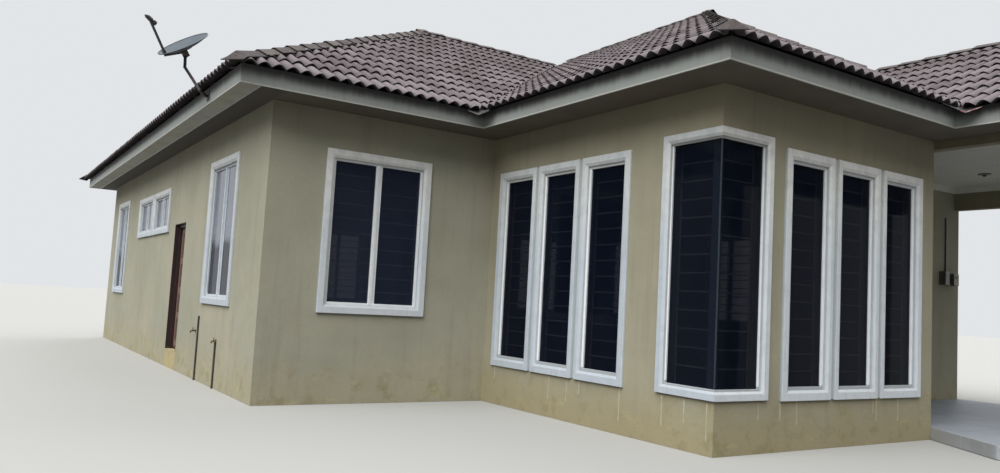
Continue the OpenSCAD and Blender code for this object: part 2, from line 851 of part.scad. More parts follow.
// The receiver looks back at the bowl through its horn
module receiver() {
    translate([0, 0, -receiver_l / 2]) cylinder(d = receiver_d, h = receiver_l, $fn = 48);
    translate([0, 0, receiver_l / 2 - slit]) cylinder(d1 = receiver_d, d2 = horn_d, h = horn_l, $fn = 48);
}

// The mast stands off the fascia, clears the tiles, slants back and bends up to a clamp
// behind the bowl
mast_stand = 12;
foot_drop = 113;
foot_fore = 155;
foot_out = 36;
foot_plate = 120;
knee_fore = 345;
knee_up = 10;
foot_plate_t = 8;
bend_in = 26;
bend_drop = 264;
joint_swell = 1.1;
clamp_w = 110;
clamp_t = 10;
clamp_d = 60;
clamp_side = 40;
clamp_deep = 80;
dish_seat = 0.3;

module dish_mast() {
    y = front_y + dish_y;
    wall_side = eave_left + drip;
    z = fascia_top - foot_drop;
    foot_y = y - foot_fore;
    elbow = [wall_side - foot_out, foot_y, z];
    knee = [eave_left - mast_d / 2 - mast_stand, y - knee_fore, z + knee_up];
    bend = [dish_x + bend_in, y, dish_z - bend_drop];
    head = behind_dish(clamp_side, dish_sag / 2 + dish_seat + clamp_t + clamp_deep / 2);
    color(dark_steel) {
        block([wall_side - foot_plate_t, foot_y - foot_plate / 2, z - foot_plate / 2],
            [wall_side, foot_y + foot_plate / 2, z + foot_plate / 2]);
        bar([wall_side - foot_plate_t, foot_y, z], elbow, mast_d);
        bar(elbow, knee, mast_d);
        bar(knee, bend, mast_d);
        bar(bend, head, mast_d);
        for (p = [elbow, knee, bend]) translate(p) sphere(d = mast_d * joint_swell, $fn = 32);
        on_dish() translate([0, 0, -dish_seat]) {
            translate([-clamp_w / 2, -clamp_w / 2, -clamp_t]) cube([clamp_w, clamp_w, clamp_t]);
            translate([-clamp_side - clamp_d / 2, -clamp_d / 2, -clamp_t - clamp_deep])
                cube([clamp_d, clamp_d, clamp_deep]);
        }
    }
}

// The meter board on the porch's rear wall: a meter and a fuse box side by side, joined by
// a terminal box, with trunking up to the ceiling
meter_right = 210;
meter_z = 2100;
meter_w = 160;
meter_h = 200;
meter_out = 120;
terminal_w = 120;
terminal_h = 220;
terminal_out = 70;
fuse_w = 130;
fuse_h = 230;
fuse_out = 110;
trunk_w = 50;
trunk_out = 30;
trunk_h = 940;

module meter_box() {
    x = right_x - meter_right;
    terminal_x = x - meter_w - terminal_w;
    trunk_x = x - meter_w - terminal_w / 2 - trunk_w / 2;
    y = porch_rear_y;
    color("dimgray") {
        block([x - meter_w, y - meter_out, meter_z], [x, y, meter_z + meter_h]);
        block([terminal_x, y - terminal_out, meter_z], [x - meter_w, y, meter_z + terminal_h]);
        block([terminal_x - fuse_w, y - fuse_out, meter_z], [terminal_x, y, meter_z + fuse_h]);
        block([trunk_x, y - trunk_out, meter_z + terminal_h],
            [trunk_x + trunk_w, y, meter_z + terminal_h + trunk_h]);
    }
}

// Two standpipes against the left wall, each given by its distance from the front and height
pipe_d = 27;
pipes = [[2795, 940], [1750, 625]];

module standpipes() {
    color(dark_steel) for (p = pipes) translate([left_x - pipe_d / 2, front_y + p[0], 0])
        cylinder(d = pipe_d, h = p[1], $fn = 32);
}

left_wall_front();
left_wall_rear();
left_wall_at_door();
front_wall();
bay_side_wall();
bay_front_wall();
bay_right_wall();
porch_rear_wall();
right_walls();
rear_walls();
house_floor();
porch_floor();
house_ceiling();
porch_ceiling();
porch_columns();
porch_beams();
soffit();
fascia();
roof_left();
roof_front();
roof_bay_left();
roof_bay_front();
roof_porch_left();
roof_porch_front();
roof_porch_right();
roof_right();
roof_wing_right();
roof_rear();
roof_caps();
left_window_surrounds();
left_window_frames();
left_window_glass();
front_window_surrounds();
front_window_frames();
front_window_glass();
rear_window_surrounds();
rear_window_frames();
rear_window_glass();
side_door_frame();
side_door();
entrance_door();
dish();
dish_mast();
meter_box();
standpipes();
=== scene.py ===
"""The looks of a single-storey bungalow with a hipped tile roof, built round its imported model.

Lengths are in metres. X runs right along the front, Y away from it and Z up. The origin is
at ground level, where the centre lines of the left and front walls cross."""

from math import asin, ceil, cos, floor, pi, radians, sin, sqrt, tan
from random import Random

import bmesh
import bpy
import numpy as np
from mathutils import Matrix, Vector


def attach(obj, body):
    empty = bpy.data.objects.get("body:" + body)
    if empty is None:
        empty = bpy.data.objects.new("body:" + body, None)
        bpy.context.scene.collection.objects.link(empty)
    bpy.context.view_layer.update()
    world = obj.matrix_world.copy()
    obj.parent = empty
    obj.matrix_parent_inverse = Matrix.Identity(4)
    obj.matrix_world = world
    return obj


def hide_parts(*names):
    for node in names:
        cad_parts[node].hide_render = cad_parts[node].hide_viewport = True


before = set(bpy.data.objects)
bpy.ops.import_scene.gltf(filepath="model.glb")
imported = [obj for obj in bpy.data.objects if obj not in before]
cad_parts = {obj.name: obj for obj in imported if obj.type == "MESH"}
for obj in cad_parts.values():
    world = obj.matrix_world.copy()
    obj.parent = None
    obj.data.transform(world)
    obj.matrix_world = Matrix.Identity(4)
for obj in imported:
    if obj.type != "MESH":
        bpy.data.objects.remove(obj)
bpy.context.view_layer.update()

# The plan: wall lengths and the outer faces of the walls
WALL = 0.150
FRONT_W, MAIN_W, HOUSE_D = 3.230, 7.900, 12.420
BAY_D, BAY_W = 4.220, 3.860
PORCH_IN, PORCH_W, PORCH_D = 2.020, 4.510, 5.500
left_x, front_y = -WALL / 2, -WALL / 2
bay_x, bay_y = left_x + FRONT_W, front_y - BAY_D
bay_right_x = bay_x + BAY_W
porch_rear_y = bay_y + PORCH_IN
porch_front_y = porch_rear_y - PORCH_D
right_x = bay_right_x + PORCH_W
main_y = front_y + MAIN_W
wing_x = left_x + MAIN_W
rear_y = front_y + HOUSE_D

# Heights
FLOOR_Z, PORCH_Z, SOFFIT_Z, FASCIA_H = 0.294, 0.150, 3.693, 0.220

# The roof: its slope, how far the eaves reach and the tiles drip past them, and where the tiles lie
PITCH = radians(28.8)
RISE = tan(PITCH)
EAVE, DRIP, FASCIA_T, PLATE_T = 0.680, 0.120, 0.020, 0.022
bed_z = SOFFIT_Z + FASCIA_H + PLATE_T / cos(PITCH) - DRIP * RISE

# Windows and the side door's opening
TRIM, REVEAL = 0.105, 0.015
BAR, MID_BAR, CORNER_BAR, BAR_D = 0.040, 0.095, 0.015, 0.045
TALL_W, FRONT_TALL_W, TALL_Z, TALL_H = 0.898, 0.870, 0.510, 2.680
PAIR_W, PAIR_Z, PAIR_H = 1.516, 1.120, 2.100
HIGH_W, HIGH_Y, HIGH_Z, HIGH_H = 1.550, 0.500, 2.290, 0.820
CORNER_SIDE_W, CORNER_FRONT_W, CORNER_Z, CORNER_H = 0.801, 0.771, 0.525, 2.737
DOOR_Y, DOOR_W = 4.245, 0.800

# The photograph's camera
IMAGE_W, FOCAL_PX, SENSOR, VIEW_END = 1000, 811.06, 36.0, 500
YAW, TILT, ROLL = (radians(a) for a in (33.055, 4.666, 3.161))
EYE = (-3.0, -9.79, 1.376)

UP = Vector((0, 0, 1))


def at(x, y, z=0):
    return Vector((x, y, z))


def linear(*levels):
    """A colour given by its 0 to 255 screen levels, as the linear colour that shaders use."""
    shares = [v / 255 for v in levels]
    return tuple(s / 12.92 if s <= 0.04045 else ((s + 0.055) / 1.055) ** 2.4 for s in shares) + (1.0,)


# Shader nodes


def put(tree, socket, value):
    """Links an input to the value if that is an output, and else sets it."""
    if isinstance(value, bpy.types.NodeSocket):
        tree.links.new(value, socket)
    else:
        socket.default_value = value


def new_node(tree, kind, inputs=None, **settings):
    node = tree.nodes.new("ShaderNode" + kind)
    for key, value in settings.items():
        setattr(node, key, value)
    for key, value in (inputs or {}).items():
        put(tree, node.inputs[key], value)
    return node


def ramp(tree, value, *stops):
    """Maps 0 to 1 onto stops of (position, screen levels or a linear grey)."""
    node = new_node(tree, "ValToRGB", {0: value})
    band = node.color_ramp.elements
    while len(band) < len(stops):
        band.new(1.0)
    for element, (position, colour) in zip(band, stops):
        element.position = position
        element.color = linear(*colour) if isinstance(colour, tuple) else (colour, colour, colour, 1)
    return node.outputs[0]


def seen_share(tree):
    """1 for rays from the camera, and through glass or off a shiny surface, else 0."""
    path = new_node(tree, "LightPath").outputs
    share = path["Is Camera Ray"]
    for ray in ("Is Transmission Ray", "Is Glossy Ray"):
        share = new_node(tree, "Math", {0: share, 1: path[ray]}, operation="MAXIMUM").outputs[0]
    return share


# The camera, the lamps and the floor

SKY_LOW, SKY_MID, SKY_HIGH = 0.20, 0.48, 0.85
SKY_SEEN = linear(226, 229, 232)
FLOOR_SEEN = linear(176, 176, 173)
FLOOR_BOUNCE = linear(68, 66, 62)
FLOOR_REACH, FLOOR_TOP = 150, -0.002

# Soft lamps: name, strength, and the way that their light travels
LAMPS = [("main_lamp", 3.6, (0.591, 0.314, -0.743)), ("fill_lamp", 1.2, (-0.55, -0.45, -0.70))]
LAMP_SPREAD = radians(60)


def make_camera():
    forward = at(sin(YAW) * cos(TILT), cos(YAW) * cos(TILT), sin(TILT))
    level = at(cos(YAW), -sin(YAW))
    up = level.cross(forward)
    right = cos(ROLL) * level + sin(ROLL) * up
    top = -sin(ROLL) * level + cos(ROLL) * up
    data = bpy.data.cameras.new("photo_camera")
    data.sensor_width = SENSOR
    data.lens = FOCAL_PX * SENSOR / IMAGE_W
    data.clip_end = VIEW_END
    camera = bpy.data.objects.new("photo_camera", data)
    turn = Matrix((right, top, -forward)).transposed().to_4x4()
    camera.matrix_world = Matrix.Translation(EYE) @ turn
    bpy.context.scene.collection.objects.link(camera)
    bpy.context.scene.camera = camera


def make_stage():
    world = bpy.data.worlds.new("studio")
    bpy.context.scene.world = world
    world.use_nodes = True
    tree = world.node_tree
    light = tree.nodes["Background"]
    place = new_node(tree, "TexCoord").outputs["Generated"]
    height = new_node(tree, "SeparateXYZ", {0: place}).outputs["Z"]
    put(tree, light.inputs["Color"], ramp(tree, height, (0, SKY_LOW), (0.5, SKY_MID), (1, SKY_HIGH)))
    shown = new_node(tree, "Background", {"Color": SKY_SEEN})
    mix = new_node(tree, "MixShader", {0: seen_share(tree), 1: light.outputs[0], 2: shown.outputs[0]})
    put(tree, tree.nodes["World Output"].inputs["Surface"], mix.outputs[0])

    for name, energy, travel in LAMPS:
        lamp = bpy.data.lights.new(name, "SUN")
        lamp.energy = energy
        lamp.angle = LAMP_SPREAD
        holder = bpy.data.objects.new(name, lamp)
        holder.rotation_euler = Vector(travel).to_track_quat("-Z", "Y").to_euler()
        bpy.context.scene.collection.objects.link(holder)

    ground = Shape()
    corners = ((-1, -1), (1, -1), (1, 1), (-1, 1))
    ground.add([(x * FLOOR_REACH, y * FLOOR_REACH, FLOOR_TOP) for x, y in corners],
            [(0, 1, 2, 3)])
    look = Look("floor_paint", 0.9)
    look.set(Base_Color=look.blend(seen_share(look.tree), FLOOR_BOUNCE, FLOOR_SEEN))
    linked(ground.mesh("floor"), "floor", "floor_paint")


# Meshes

BOX_FACES = [(0, 3, 2, 1), (4, 5, 6, 7), (0, 1, 5, 4), (1, 2, 6, 5), (2, 3, 7, 6), (3, 0, 4, 7)]
SHARP = radians(35)


def spread(value, count):
    return value if isinstance(value, list) else [value] * count


class Shape:
    """Points and faces gathered for one mesh, with a tone and a crest value at each point."""

    def __init__(self):
        self.points, self.faces, self.smooth, self.tone, self.crest = [], [], [], [], []

    def add(self, points, faces=BOX_FACES, smooth=False, tone=0.5, crest=0.5):
        base = len(self.points)
        self.points.extend(tuple(p) for p in points)
        self.faces.extend(tuple(base + i for i in f) for f in faces)
        self.smooth.extend(spread(smooth, len(faces)))
        self.tone.extend(spread(tone, len(points)))
        self.crest.extend(spread(crest, len(points)))

    def box(self, low, high, matrix=None):
        sides = ((low, low), (high, low), (high, high), (low, high))
        corners = [(x[0], y[1], z[2]) for z in (low, high) for x, y in sides]
        self.add(placed(matrix, corners) if matrix else corners)

    def bar(self, wall, across, heights, depths, crest=0.5):
        """A bar on a wall, between two places across, two heights and two depths below its face."""
        origin, right, out = wall
        self.add([origin + right * across[i] - out * depths[j] + UP * z
                for z in heights for i, j in ((0, 0), (1, 0), (1, 1), (0, 1))], crest=crest)

    def rings(self, rows, closed=False, smooth=False, tone=0.5):
        """A skin over rows of points, each closed on itself. The run is closed too, or gets flat ends."""
        n, count = len(rows[0]), len(rows)
        faces = []
        for i in range(count if closed else count - 1):
            a, b = i * n, (i + 1) % count * n
            faces += [(a + k, a + (k + 1) % n, b + (k + 1) % n, b + k) for k in range(n)]
        if not closed:
            faces += [tuple(reversed(range(n))), tuple(range(count * n - n, count * n))]
        self.add([p for row in rows for p in row], faces, smooth, tone)

    def mesh(self, title):
        data = bpy.data.meshes.new(title)
        data.from_pydata(self.points, [], self.faces)
        data.polygons.foreach_set("use_smooth", self.smooth)
        for name, values in (("tone", self.tone), ("crest", self.crest)):
            layer = data.attributes.new(name, "FLOAT", "POINT")
            layer.data.foreach_set("value", np.array(values, np.float32))
        return data


def placed(matrix, points):
    return [matrix @ Vector(p) for p in points]


def linked(data, name, look):
    piece = bpy.data.objects.new(name, data)
    data.materials.append(LOOKS[look].material)
    bpy.context.scene.collection.objects.link(piece)
    return piece


def show(shape, name, look, body="house", stands_for=(), soft=0, segments=2):
    """Makes one piece of a shape or a mesh. Its sharp edges are rounded by soft, where that is given."""
    piece = linked(shape.mesh(name) if isinstance(shape, Shape) else shape, name, look)
    if soft:
        bevel = piece.modifiers.new("soft_edges", "BEVEL")
        bevel.width, bevel.segments = soft, segments
        bevel.limit_method, bevel.angle_limit = "ANGLE", SHARP
    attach(piece, body)
    if stands_for:
        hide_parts(*stands_for)


# Materials, by their names

LOOKS = {}


class Look:
    """A Principled material, with short ways to add its nodes. Its paint is the colour so far."""

    def __init__(self, name, rough, **inputs):
        LOOKS[name] = self
        self.material = bpy.data.materials.new(name)
        self.material.use_nodes = True
        self.tree = self.material.node_tree
        self.shader = self.tree.nodes["Principled BSDF"]
        self.set(Roughness=rough, **inputs)
        self.place = self.node("TexCoord").outputs["Object"]
        self.paint = None

    def set(self, **inputs):
        """Sets or links inputs of the shader, with _ for the spaces in their names."""
        for key, value in inputs.items():
            put(self.tree, self.shader.inputs[key.replace("_", " ")], value)

    def node(self, kind, inputs=None, **settings):
        return new_node(self.tree, kind, inputs, **settings)

    def noise(self, scale, detail=4.0, rough=0.55, stretch=None):
        place = self.place
        if stretch:
            place = self.node("Mapping", {"Vector": place, "Scale": stretch}).outputs[0]
        node = self.node("TexNoise", {"Vector": place, "Scale": scale, "Detail": detail, "Roughness": rough})
        return node.outputs[0]

    def axis(self, name, place=None):
        return self.node("SeparateXYZ", {0: place or self.place}).outputs[name]

    def sums(self, operation, *values):
        return self.node("Math", dict(enumerate(values)), operation=operation).outputs[0]

    def times(self, first, second):
        return self.sums("MULTIPLY", first, second)

    def plus(self, first, second, factor):
        return self.sums("ADD", first, self.times(second, factor))

    def step(self, value, low, high):
        """0 below low, 1 above high, and a smooth change between."""
        inputs = {"Value": value, "From Min": low, "From Max": high}
        return self.node("MapRange", inputs, interpolation_type="SMOOTHSTEP").outputs[0]

    def below(self, value, low, high):
        return self.sums("SUBTRACT", 1.0, self.step(value, low, high))

    def patches(self, low, high, *noise):
        return self.step(self.noise(*noise), low, high)

    def blend(self, share, first, second, kind="MIX"):
        node = self.node("Mix", None, data_type="RGBA", blend_type=kind)
        for index, value in ((0, share), (6, first), (7, second)):
            put(self.tree, node.inputs[index], value)
        return node.outputs[2]

    def stored(self, name):
        """A value that each point of the mesh carries."""
        return self.node("Attribute", attribute_name=name).outputs["Fac"]

    def facing(self, name="Z"):
        """One part of the surface's own direction, from -1 to 1."""
        return self.axis(name, self.node("NewGeometry").outputs["True Normal"])

    def cover(self, share, mask, *levels):
        """Lays a colour over the paint where a mask is, or where patches of a noise are."""
        mask = self.patches(*mask) if isinstance(mask, tuple) else mask
        self.paint = self.blend(self.times(mask, share), self.paint, linear(*levels))

    def tinted(self, share, tint):
        self.paint = self.blend(share, self.paint, tint, "MULTIPLY")

    def grain(self, share, scale, rough, dark, light):
        """Speckles the paint, and returns the pattern."""
        pattern = self.noise(scale, 3, rough)
        speckles = ramp(self.tree, pattern, (0.35, dark), (0.65, light))
        self.paint = self.blend(share, self.paint, speckles, "OVERLAY")
        return pattern

    def finish(self, height, depth, strength=0.5):
        """Hands the paint and a relief to the shader."""
        relief = self.node("Bump", {"Strength": strength, "Distance": depth, "Height": height})
        self.set(Base_Color=self.paint, Normal=relief.outputs[0])


def plaster_look(name, foot_colour=(176, 163, 122), foot_share=0.34, tint=(1, 1, 1, 1)):
    """Khaki cement plaster with trowel waves, clouds, streaks and a stained foot."""
    look = Look(name, 0.9)
    look.paint = ramp(look.tree, look.noise(0.7, 6, 0.6),
            (0.32, (158, 157, 138)), (0.52, (167, 165, 146)), (0.70, (175, 171, 150)))
    look.cover(0.30, (0.42, 0.72, 2.3, 5, 0.65), 156, 149, 128)
    look.cover(0.36, (0.50, 0.74, 1.0, 5, 0.6, (7, 7, 0.45)), 140, 137, 120)
    foot = look.below(look.plus(look.axis("Z"), look.noise(2.6, 5), -0.55), -0.20, 0.42)
    look.cover(foot_share, foot, *foot_colour)
    look.cover(0.45, look.times(foot, look.patches(0.50, 0.66, 5.0, 6, 0.7)), 132, 128, 84)
    look.cover(0.45, look.times(foot, look.patches(0.56, 0.70, 3.4, 6, 0.7, (1, 1, 2.5))), 196, 184, 140)
    grain = look.grain(0.10, 90, 0.6, 0.15, 0.75)
    look.tinted(1.0, tint)
    look.finish(look.plus(look.times(look.noise(6), 0.75), grain, 0.08), 0.012, 0.6)


def tile_look():
    """Grey-brown concrete tiles, each with its own tone, paler where worn, dark in the pans with dirt and
    painted shade, and near black with painted shade on the lips and undersides.
    """
    look = Look("concrete_tile", 0.82)
    tone = look.stored("tone")
    look.paint = ramp(look.tree, tone,
            (0.0, (48, 43, 46)), (0.35, (88, 79, 81)), (0.6, (106, 96, 99)), (1.0, (128, 120, 124)))
    worn = look.times(look.patches(0.42, 0.70, 5.5, 6, 0.7), look.step(tone, 0.0, 0.4))
    look.cover(0.35, worn, 122, 115, 114)
    look.cover(0.40, (0.50, 0.78, 1.4, 5, 0.65), 62, 57, 60)
    # Pans between the rolls darker: dirt, and painted shade that deepens the rolls' relief
    look.cover(0.75, look.below(look.stored("crest"), 0.0, 0.85), 62, 54, 56)
    # Faces that turn sideways or down, the lips and undersides, get painted shade, near black
    look.cover(0.85, look.below(look.facing(), -0.35, 0.20), 26, 22, 23)
    look.cover(0.45, look.step(look.axis("Z"), bed_z + 0.6, bed_z + 2.4), 70, 60, 60)
    look.finish(look.grain(0.22, 140, 0.7, 0.2, 0.8), 0.003, 0.7)


def cap_look():
    """The same concrete on the caps, with moss, and painted shade on the laps and undersides."""
    look = Look("concrete_cap", 0.85)
    look.paint = ramp(look.tree, look.stored("tone"), (0.0, (68, 61, 61)), (1.0, (96, 88, 84)))
    look.cover(0.35, (0.45, 0.72, 9, 6, 0.7), 108, 102, 92)
    # Faces that turn sideways or down, the laps and undersides, get painted shade, near black
    look.cover(0.90, look.below(look.facing(), 0.20, 0.42), 20, 17, 19)
    look.finish(look.grain(0.25, 120, 0.7, 0.2, 0.8), 0.003, 0.7)


def board_look():
    """Painted boards with rain runs, a painted shadow of the tiles with grime along the top, and a painted
    highlight along the lower edge.
    """
    look = Look("painted_board", 0.7)
    look.paint = linear(162, 167, 163)
    look.cover(0.35, (0.40, 0.70, 1.8, 5, 0.6), 146, 150, 145)
    look.cover(0.35, (0.52, 0.75, 1.0, 5, 0.65, (14, 14, 0.8)), 122, 122, 114)
    height = look.plus(look.axis("Z"), look.noise(1.0, 5, 0.7, (9, 9, 0.5)), 0.10)
    # Painted shadow of the tiles' overhang, with grime, darkening the top of the fascia
    look.cover(0.88, look.step(height, SOFFIT_Z + 0.115, SOFFIT_Z + 0.235), 40, 40, 42)
    # Painted highlight along the lowest 8 to 16 mm of the boards
    look.cover(0.70, look.below(look.axis("Z"), SOFFIT_Z + 0.008, SOFFIT_Z + 0.016), 214, 214, 204)
    look.finish(look.noise(60, 3), 0.001, 0.4)


def white_paint_look():
    """White masonry paint with streaks, dust, thin dark runs and mould low down, painted paler higher up as
    painted light, with painted shade and dirt in the reveals and at the foot, and painted shade on faces
    turned to the left.
    """
    look = Look("white_masonry_paint", 0.62)
    # Paler higher up: painted light that offsets the eaves' shadow on the upper mouldings
    look.paint = look.blend(look.step(look.axis("Z"), 1.9, 3.1), linear(212, 218, 223), linear(240, 241, 237))
    look.cover(0.40, (0.42, 0.72, 7, 6, 0.7), 184, 190, 195)
    # Reveals, feet and the strips between joined windows get painted shade and dirt
    look.cover(0.60, look.below(look.stored("crest"), 0.0, 0.5), 150, 158, 150)
    look.cover(0.80, look.step(look.facing(), 0.4, 0.9), 126, 128, 124)
    look.cover(0.45, (0.54, 0.78, 1.0, 6, 0.7, (26, 26, 2.2)), 150, 155, 158)
    low_side = look.below(look.axis("Z"), 0.5, 2.4)
    look.cover(0.55, look.times(look.patches(0.60, 0.74, 30, 5, 0.75), low_side), 104, 106, 102)
    # Faces turned to the left get painted shade, a cool grey multiply
    look.tinted(look.below(look.facing("X"), -0.9, -0.5), (0.78, 0.81, 0.84, 1))
    look.finish(look.noise(45, 4, 0.6), 0.002)


def bright_metal_look():
    """White powder-coated frames of the front and rear, a paler copy of the plain coat with painted light,
    with dust on the sills of the tall windows.
    """
    look = Look("powder_coat_painted_light", 0.35)
    look.paint = linear(240, 243, 245)
    look.cover(0.5, (0.38, 0.68, 9, 5, 0.6), 224, 228, 231)
    look.cover(0.85, look.below(look.axis("Z"), TALL_Z + 0.150, TALL_Z + 0.175), 150, 156, 160)
    look.set(Base_Color=look.paint)


def wood_look(name, dark, light):
    """Stained timber with its grain running up."""
    look = Look(name, 0.5)
    fibres = look.noise(1.0, 8, 0.65, (42, 42, 2.2))
    rings = look.noise(1.0, 4, 0.5, (9, 9, 0.6))
    look.paint = ramp(look.tree, look.plus(look.times(fibres, 0.6), rings, 0.4), (0.35, dark), (0.65, light))
    look.finish(fibres, 0.0015)


# How far the left panes mirror below their painted reflection
LOW_MIRROR = 0.15


def glass_look(name, alpha, mirror, far_colour, head_reflection_colour=None):
    """Dark blue glass, partly see-through, with a second colour from the front wall back, and with a painted
    reflection at the head, where the glass also mirrors more.
    """
    look = Look(name, 0.03, IOR=1.45, Alpha=alpha, Specular_IOR_Level=mirror)
    far = look.step(look.axis("Y"), front_y - 0.2, front_y)
    look.paint = look.blend(far, linear(15, 21, 34), linear(*far_colour))
    if head_reflection_colour:
        # Above about 2.1 m the panes get a pale painted reflection, and mirror more
        high = look.step(look.plus(look.axis("Z"), look.noise(1.5), 0.30), 2.08, 2.24)
        look.paint = look.blend(high, look.paint, linear(*head_reflection_colour))
        look.set(Specular_IOR_Level=look.sums("MULTIPLY_ADD", high, mirror - LOW_MIRROR, LOW_MIRROR))
    dust = look.patches(0.40, 0.80, 3.0, 6, 0.7)
    look.cover(0.25, dust, 32, 39, 54)
    look.set(Base_Color=look.paint, Roughness=look.sums("MULTIPLY_ADD", dust, 0.06, 0.02))


# Plain looks: colour, colour of the clouds on it, roughness, scale and share of the clouds, scale and depth
# of the grain
MOTTLED = {
    "bedding_mortar": ((64, 60, 57), (48, 46, 44), 0.95, 12, 0.8, 60, 0.01),
    "valley_flashing": ((58, 55, 54), (40, 38, 38), 0.6, 6, 0.8, 80, 0.002),
    "red_primer": ((140, 84, 88), (206, 184, 182), 0.6, 14, 0.9, 80, 0.002),
    "white_powder_coat": ((204, 211, 218), (178, 186, 194), 0.35, 9, 0.5, 200, 0.0003),
    "dish_paint": ((84, 93, 101), (72, 80, 86), 0.45, 7, 0.6, 150, 0.0005),
    "lamp_base_bronze": ((58, 46, 38), (42, 35, 30), 0.5, 12, 0.6, 150, 0.0005),
    "black_plastic": ((30, 30, 32), (44, 43, 43), 0.45, 9, 0.6, 150, 0.0005),
    "soffit_paint": ((100, 93, 82), (88, 82, 70), 0.85, 2.5, 0.6, 70, 0.001),
    "soffit_board": ((202, 202, 194), (180, 178, 168), 0.8, 2.5, 0.6, 70, 0.001),
    "corner_seal": ((26, 34, 48), (20, 27, 38), 0.4, 9, 0.5, 120, 0.0003),
    "post_paint": ((158, 190, 230), (136, 168, 212), 0.5, 6, 0.6, 120, 0.0003),
    "tap_brass": ((96, 86, 62), (68, 63, 52), 0.45, 14, 0.7, 150, 0.0005),
    "dried_drips": ((186, 180, 156), (164, 158, 134), 0.85, 16, 0.8, 120, 0.0006),
    "cream_case": ((160, 158, 140), (138, 135, 118), 0.5, 12, 0.6, 150, 0.0005),
    "grey_case": ((134, 136, 134), (112, 113, 110), 0.5, 12, 0.6, 150, 0.0005),
    "dark_steel": ((44, 43, 44), (70, 54, 44), 0.55, 9, 0.5, 120, 0.001),
    "pipe_plastic": ((44, 45, 42), (74, 72, 52), 0.6, 7, 0.8, 100, 0.0008),
    "meter_plastic": ((92, 86, 78), (66, 61, 56), 0.5, 12, 0.7, 150, 0.0006),
    "ceiling_paint": ((228, 227, 216), (214, 213, 202), 0.8, 2, 0.6, 90, 0.0005),
    "floor_concrete": ((150, 147, 140), (118, 115, 108), 0.85, 3, 0.8, 70, 0.003),
    "riser_tile": ((176, 180, 184), (158, 161, 164), 0.25, 3, 0.6, 10, 0.0002),
    "tile_grout": ((122, 122, 118), (98, 97, 93), 0.9, 8, 0.8, 90, 0.002),
    "polished_floor_tile": ((146, 152, 160), (134, 140, 148), 0.45, 2.5, 0.6, 10, 0.0002),
    "grille_paint": ((232, 230, 228), (212, 209, 207), 0.5, 9, 0.6, 120, 0.0005),
}

# Looks of the nodes, by the first of these words that a node's name has. The rest are khaki plaster.
NODE_WORDS = {
    "roof_caps": "concrete_cap", "roof_": "concrete_tile",
    "fascia": "painted_board", "soffit": "soffit_paint",
    "_surrounds": "white_masonry_paint", "_frames": "white_powder_coat",
    "left_window_glass": "tinted_glass_left", "_glass": "tinted_glass",
    "porch_beams": "porch_plaster_painted_shade", "left_wall_at_door": "patched_plaster",
    "bay_side_wall": "bay_plaster", "bay_front_wall": "bay_plaster",
    "house_floor": "floor_concrete", "porch_floor": "tile_grout", "ceiling": "ceiling_paint",
    "side_door_frame": "lining_timber_painted_shade", "_door": "dark_stained_timber",
    "dish_mast": "dark_steel", "dish": "dish_paint",
    "meter_box": "meter_plastic", "standpipes": "pipe_plastic",
}


def make_looks():
    plaster_look("khaki_plaster")
    plaster_look("patched_plaster", (188, 171, 124), 0.85)
    plaster_look("bay_plaster", (168, 158, 124), 0.70, (0.91, 0.88, 0.83, 1))
    # A darker tint of the plaster for the porch beams: painted shade for the shade under the porch roof
    plaster_look("porch_plaster_painted_shade", tint=(0.70, 0.66, 0.58, 1))
    tile_look()
    cap_look()
    board_look()
    white_paint_look()
    bright_metal_look()
    # The left panes get a pale painted reflection at the head
    glass_look("tinted_glass_left", 0.90, 1.0, (15, 21, 34), (118, 124, 138))
    glass_look("tinted_glass", 0.66, 0.06, (42, 48, 64))
    wood_look("dark_stained_timber", (52, 34, 28), (96, 68, 54))
    wood_look("worn_timber", (92, 68, 60), (140, 114, 104))
    # Timber much darker than the door leaf: painted shade for the doorway's deep recess
    wood_look("lining_timber_painted_shade", (30, 20, 20), (58, 36, 35))
    for name, (base, other, rough, scale, share, grain_scale, depth) in MOTTLED.items():
        look = Look(name, rough)
        look.paint = linear(*base)
        look.cover(share, (0.38, 0.68, scale, 5, 0.6), *other)
        look.finish(look.noise(grain_scale, 3, 0.6), depth)
    LOOKS["tap_brass"].set(Metallic=0.7)
    LOOKS["dark_steel"].set(Metallic=0.4)
    LOOKS["polished_floor_tile"].set(Specular_IOR_Level=0.02)
    # Painted shade darkens the soffit under the left eaves, out past the left wall
    soffit = LOOKS["soffit_paint"]
    free_of_painted_shade = soffit.step(soffit.axis("X"), left_x - 0.05, left_x + 0.05)
    soffit.set(Base_Color=soffit.blend(free_of_painted_shade, linear(66, 60, 52), soffit.paint))


def dress_nodes():
    for name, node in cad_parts.items():
        look = next((look for word, look in NODE_WORDS.items() if word in name), "khaki_plaster")
        if not node.data.materials:
            node.data.materials.append(None)
        for i in range(len(node.data.materials)):
            node.data.materials[i] = LOOKS[look].material


# The roof

# Eaves lines of the four hipped blocks
west, east = left_x - EAVE, right_x + EAVE
main_front, main_rear = front_y - EAVE, main_y + EAVE
bay_left, bay_front = bay_x - EAVE, bay_y - EAVE
porch_left, porch_front = bay_right_x - EAVE, porch_front_y - EAVE
wing_right, wing_rear = wing_x + EAVE, rear_y + EAVE

# Half widths of the blocks, and ridge ends as plan points
main_run = (main_rear - main_front) / 2
wing_run = (wing_right - west) / 2
bay_run = (east - bay_left) / 2
porch_run = (east - porch_left) / 2
main_peak = (west + main_run, main_front + main_run)
main_join = (bay_left + main_run, main_peak[1])
wing_peak = (main_peak[0], wing_rear - wing_run)
bay_peak = (bay_left + bay_run, bay_front + bay_run)
bay_back = (bay_peak[0], main_rear - bay_run)
porch_peak = (east - porch_run, porch_front + porch_run)
porch_join = (porch_peak[0], bay_front + porch_run)
rear_side = (2 * bay_back[0] - main_join[0], main_join[1])

# Where the front slope's tiles are counted from
FRONT_START = -0.328


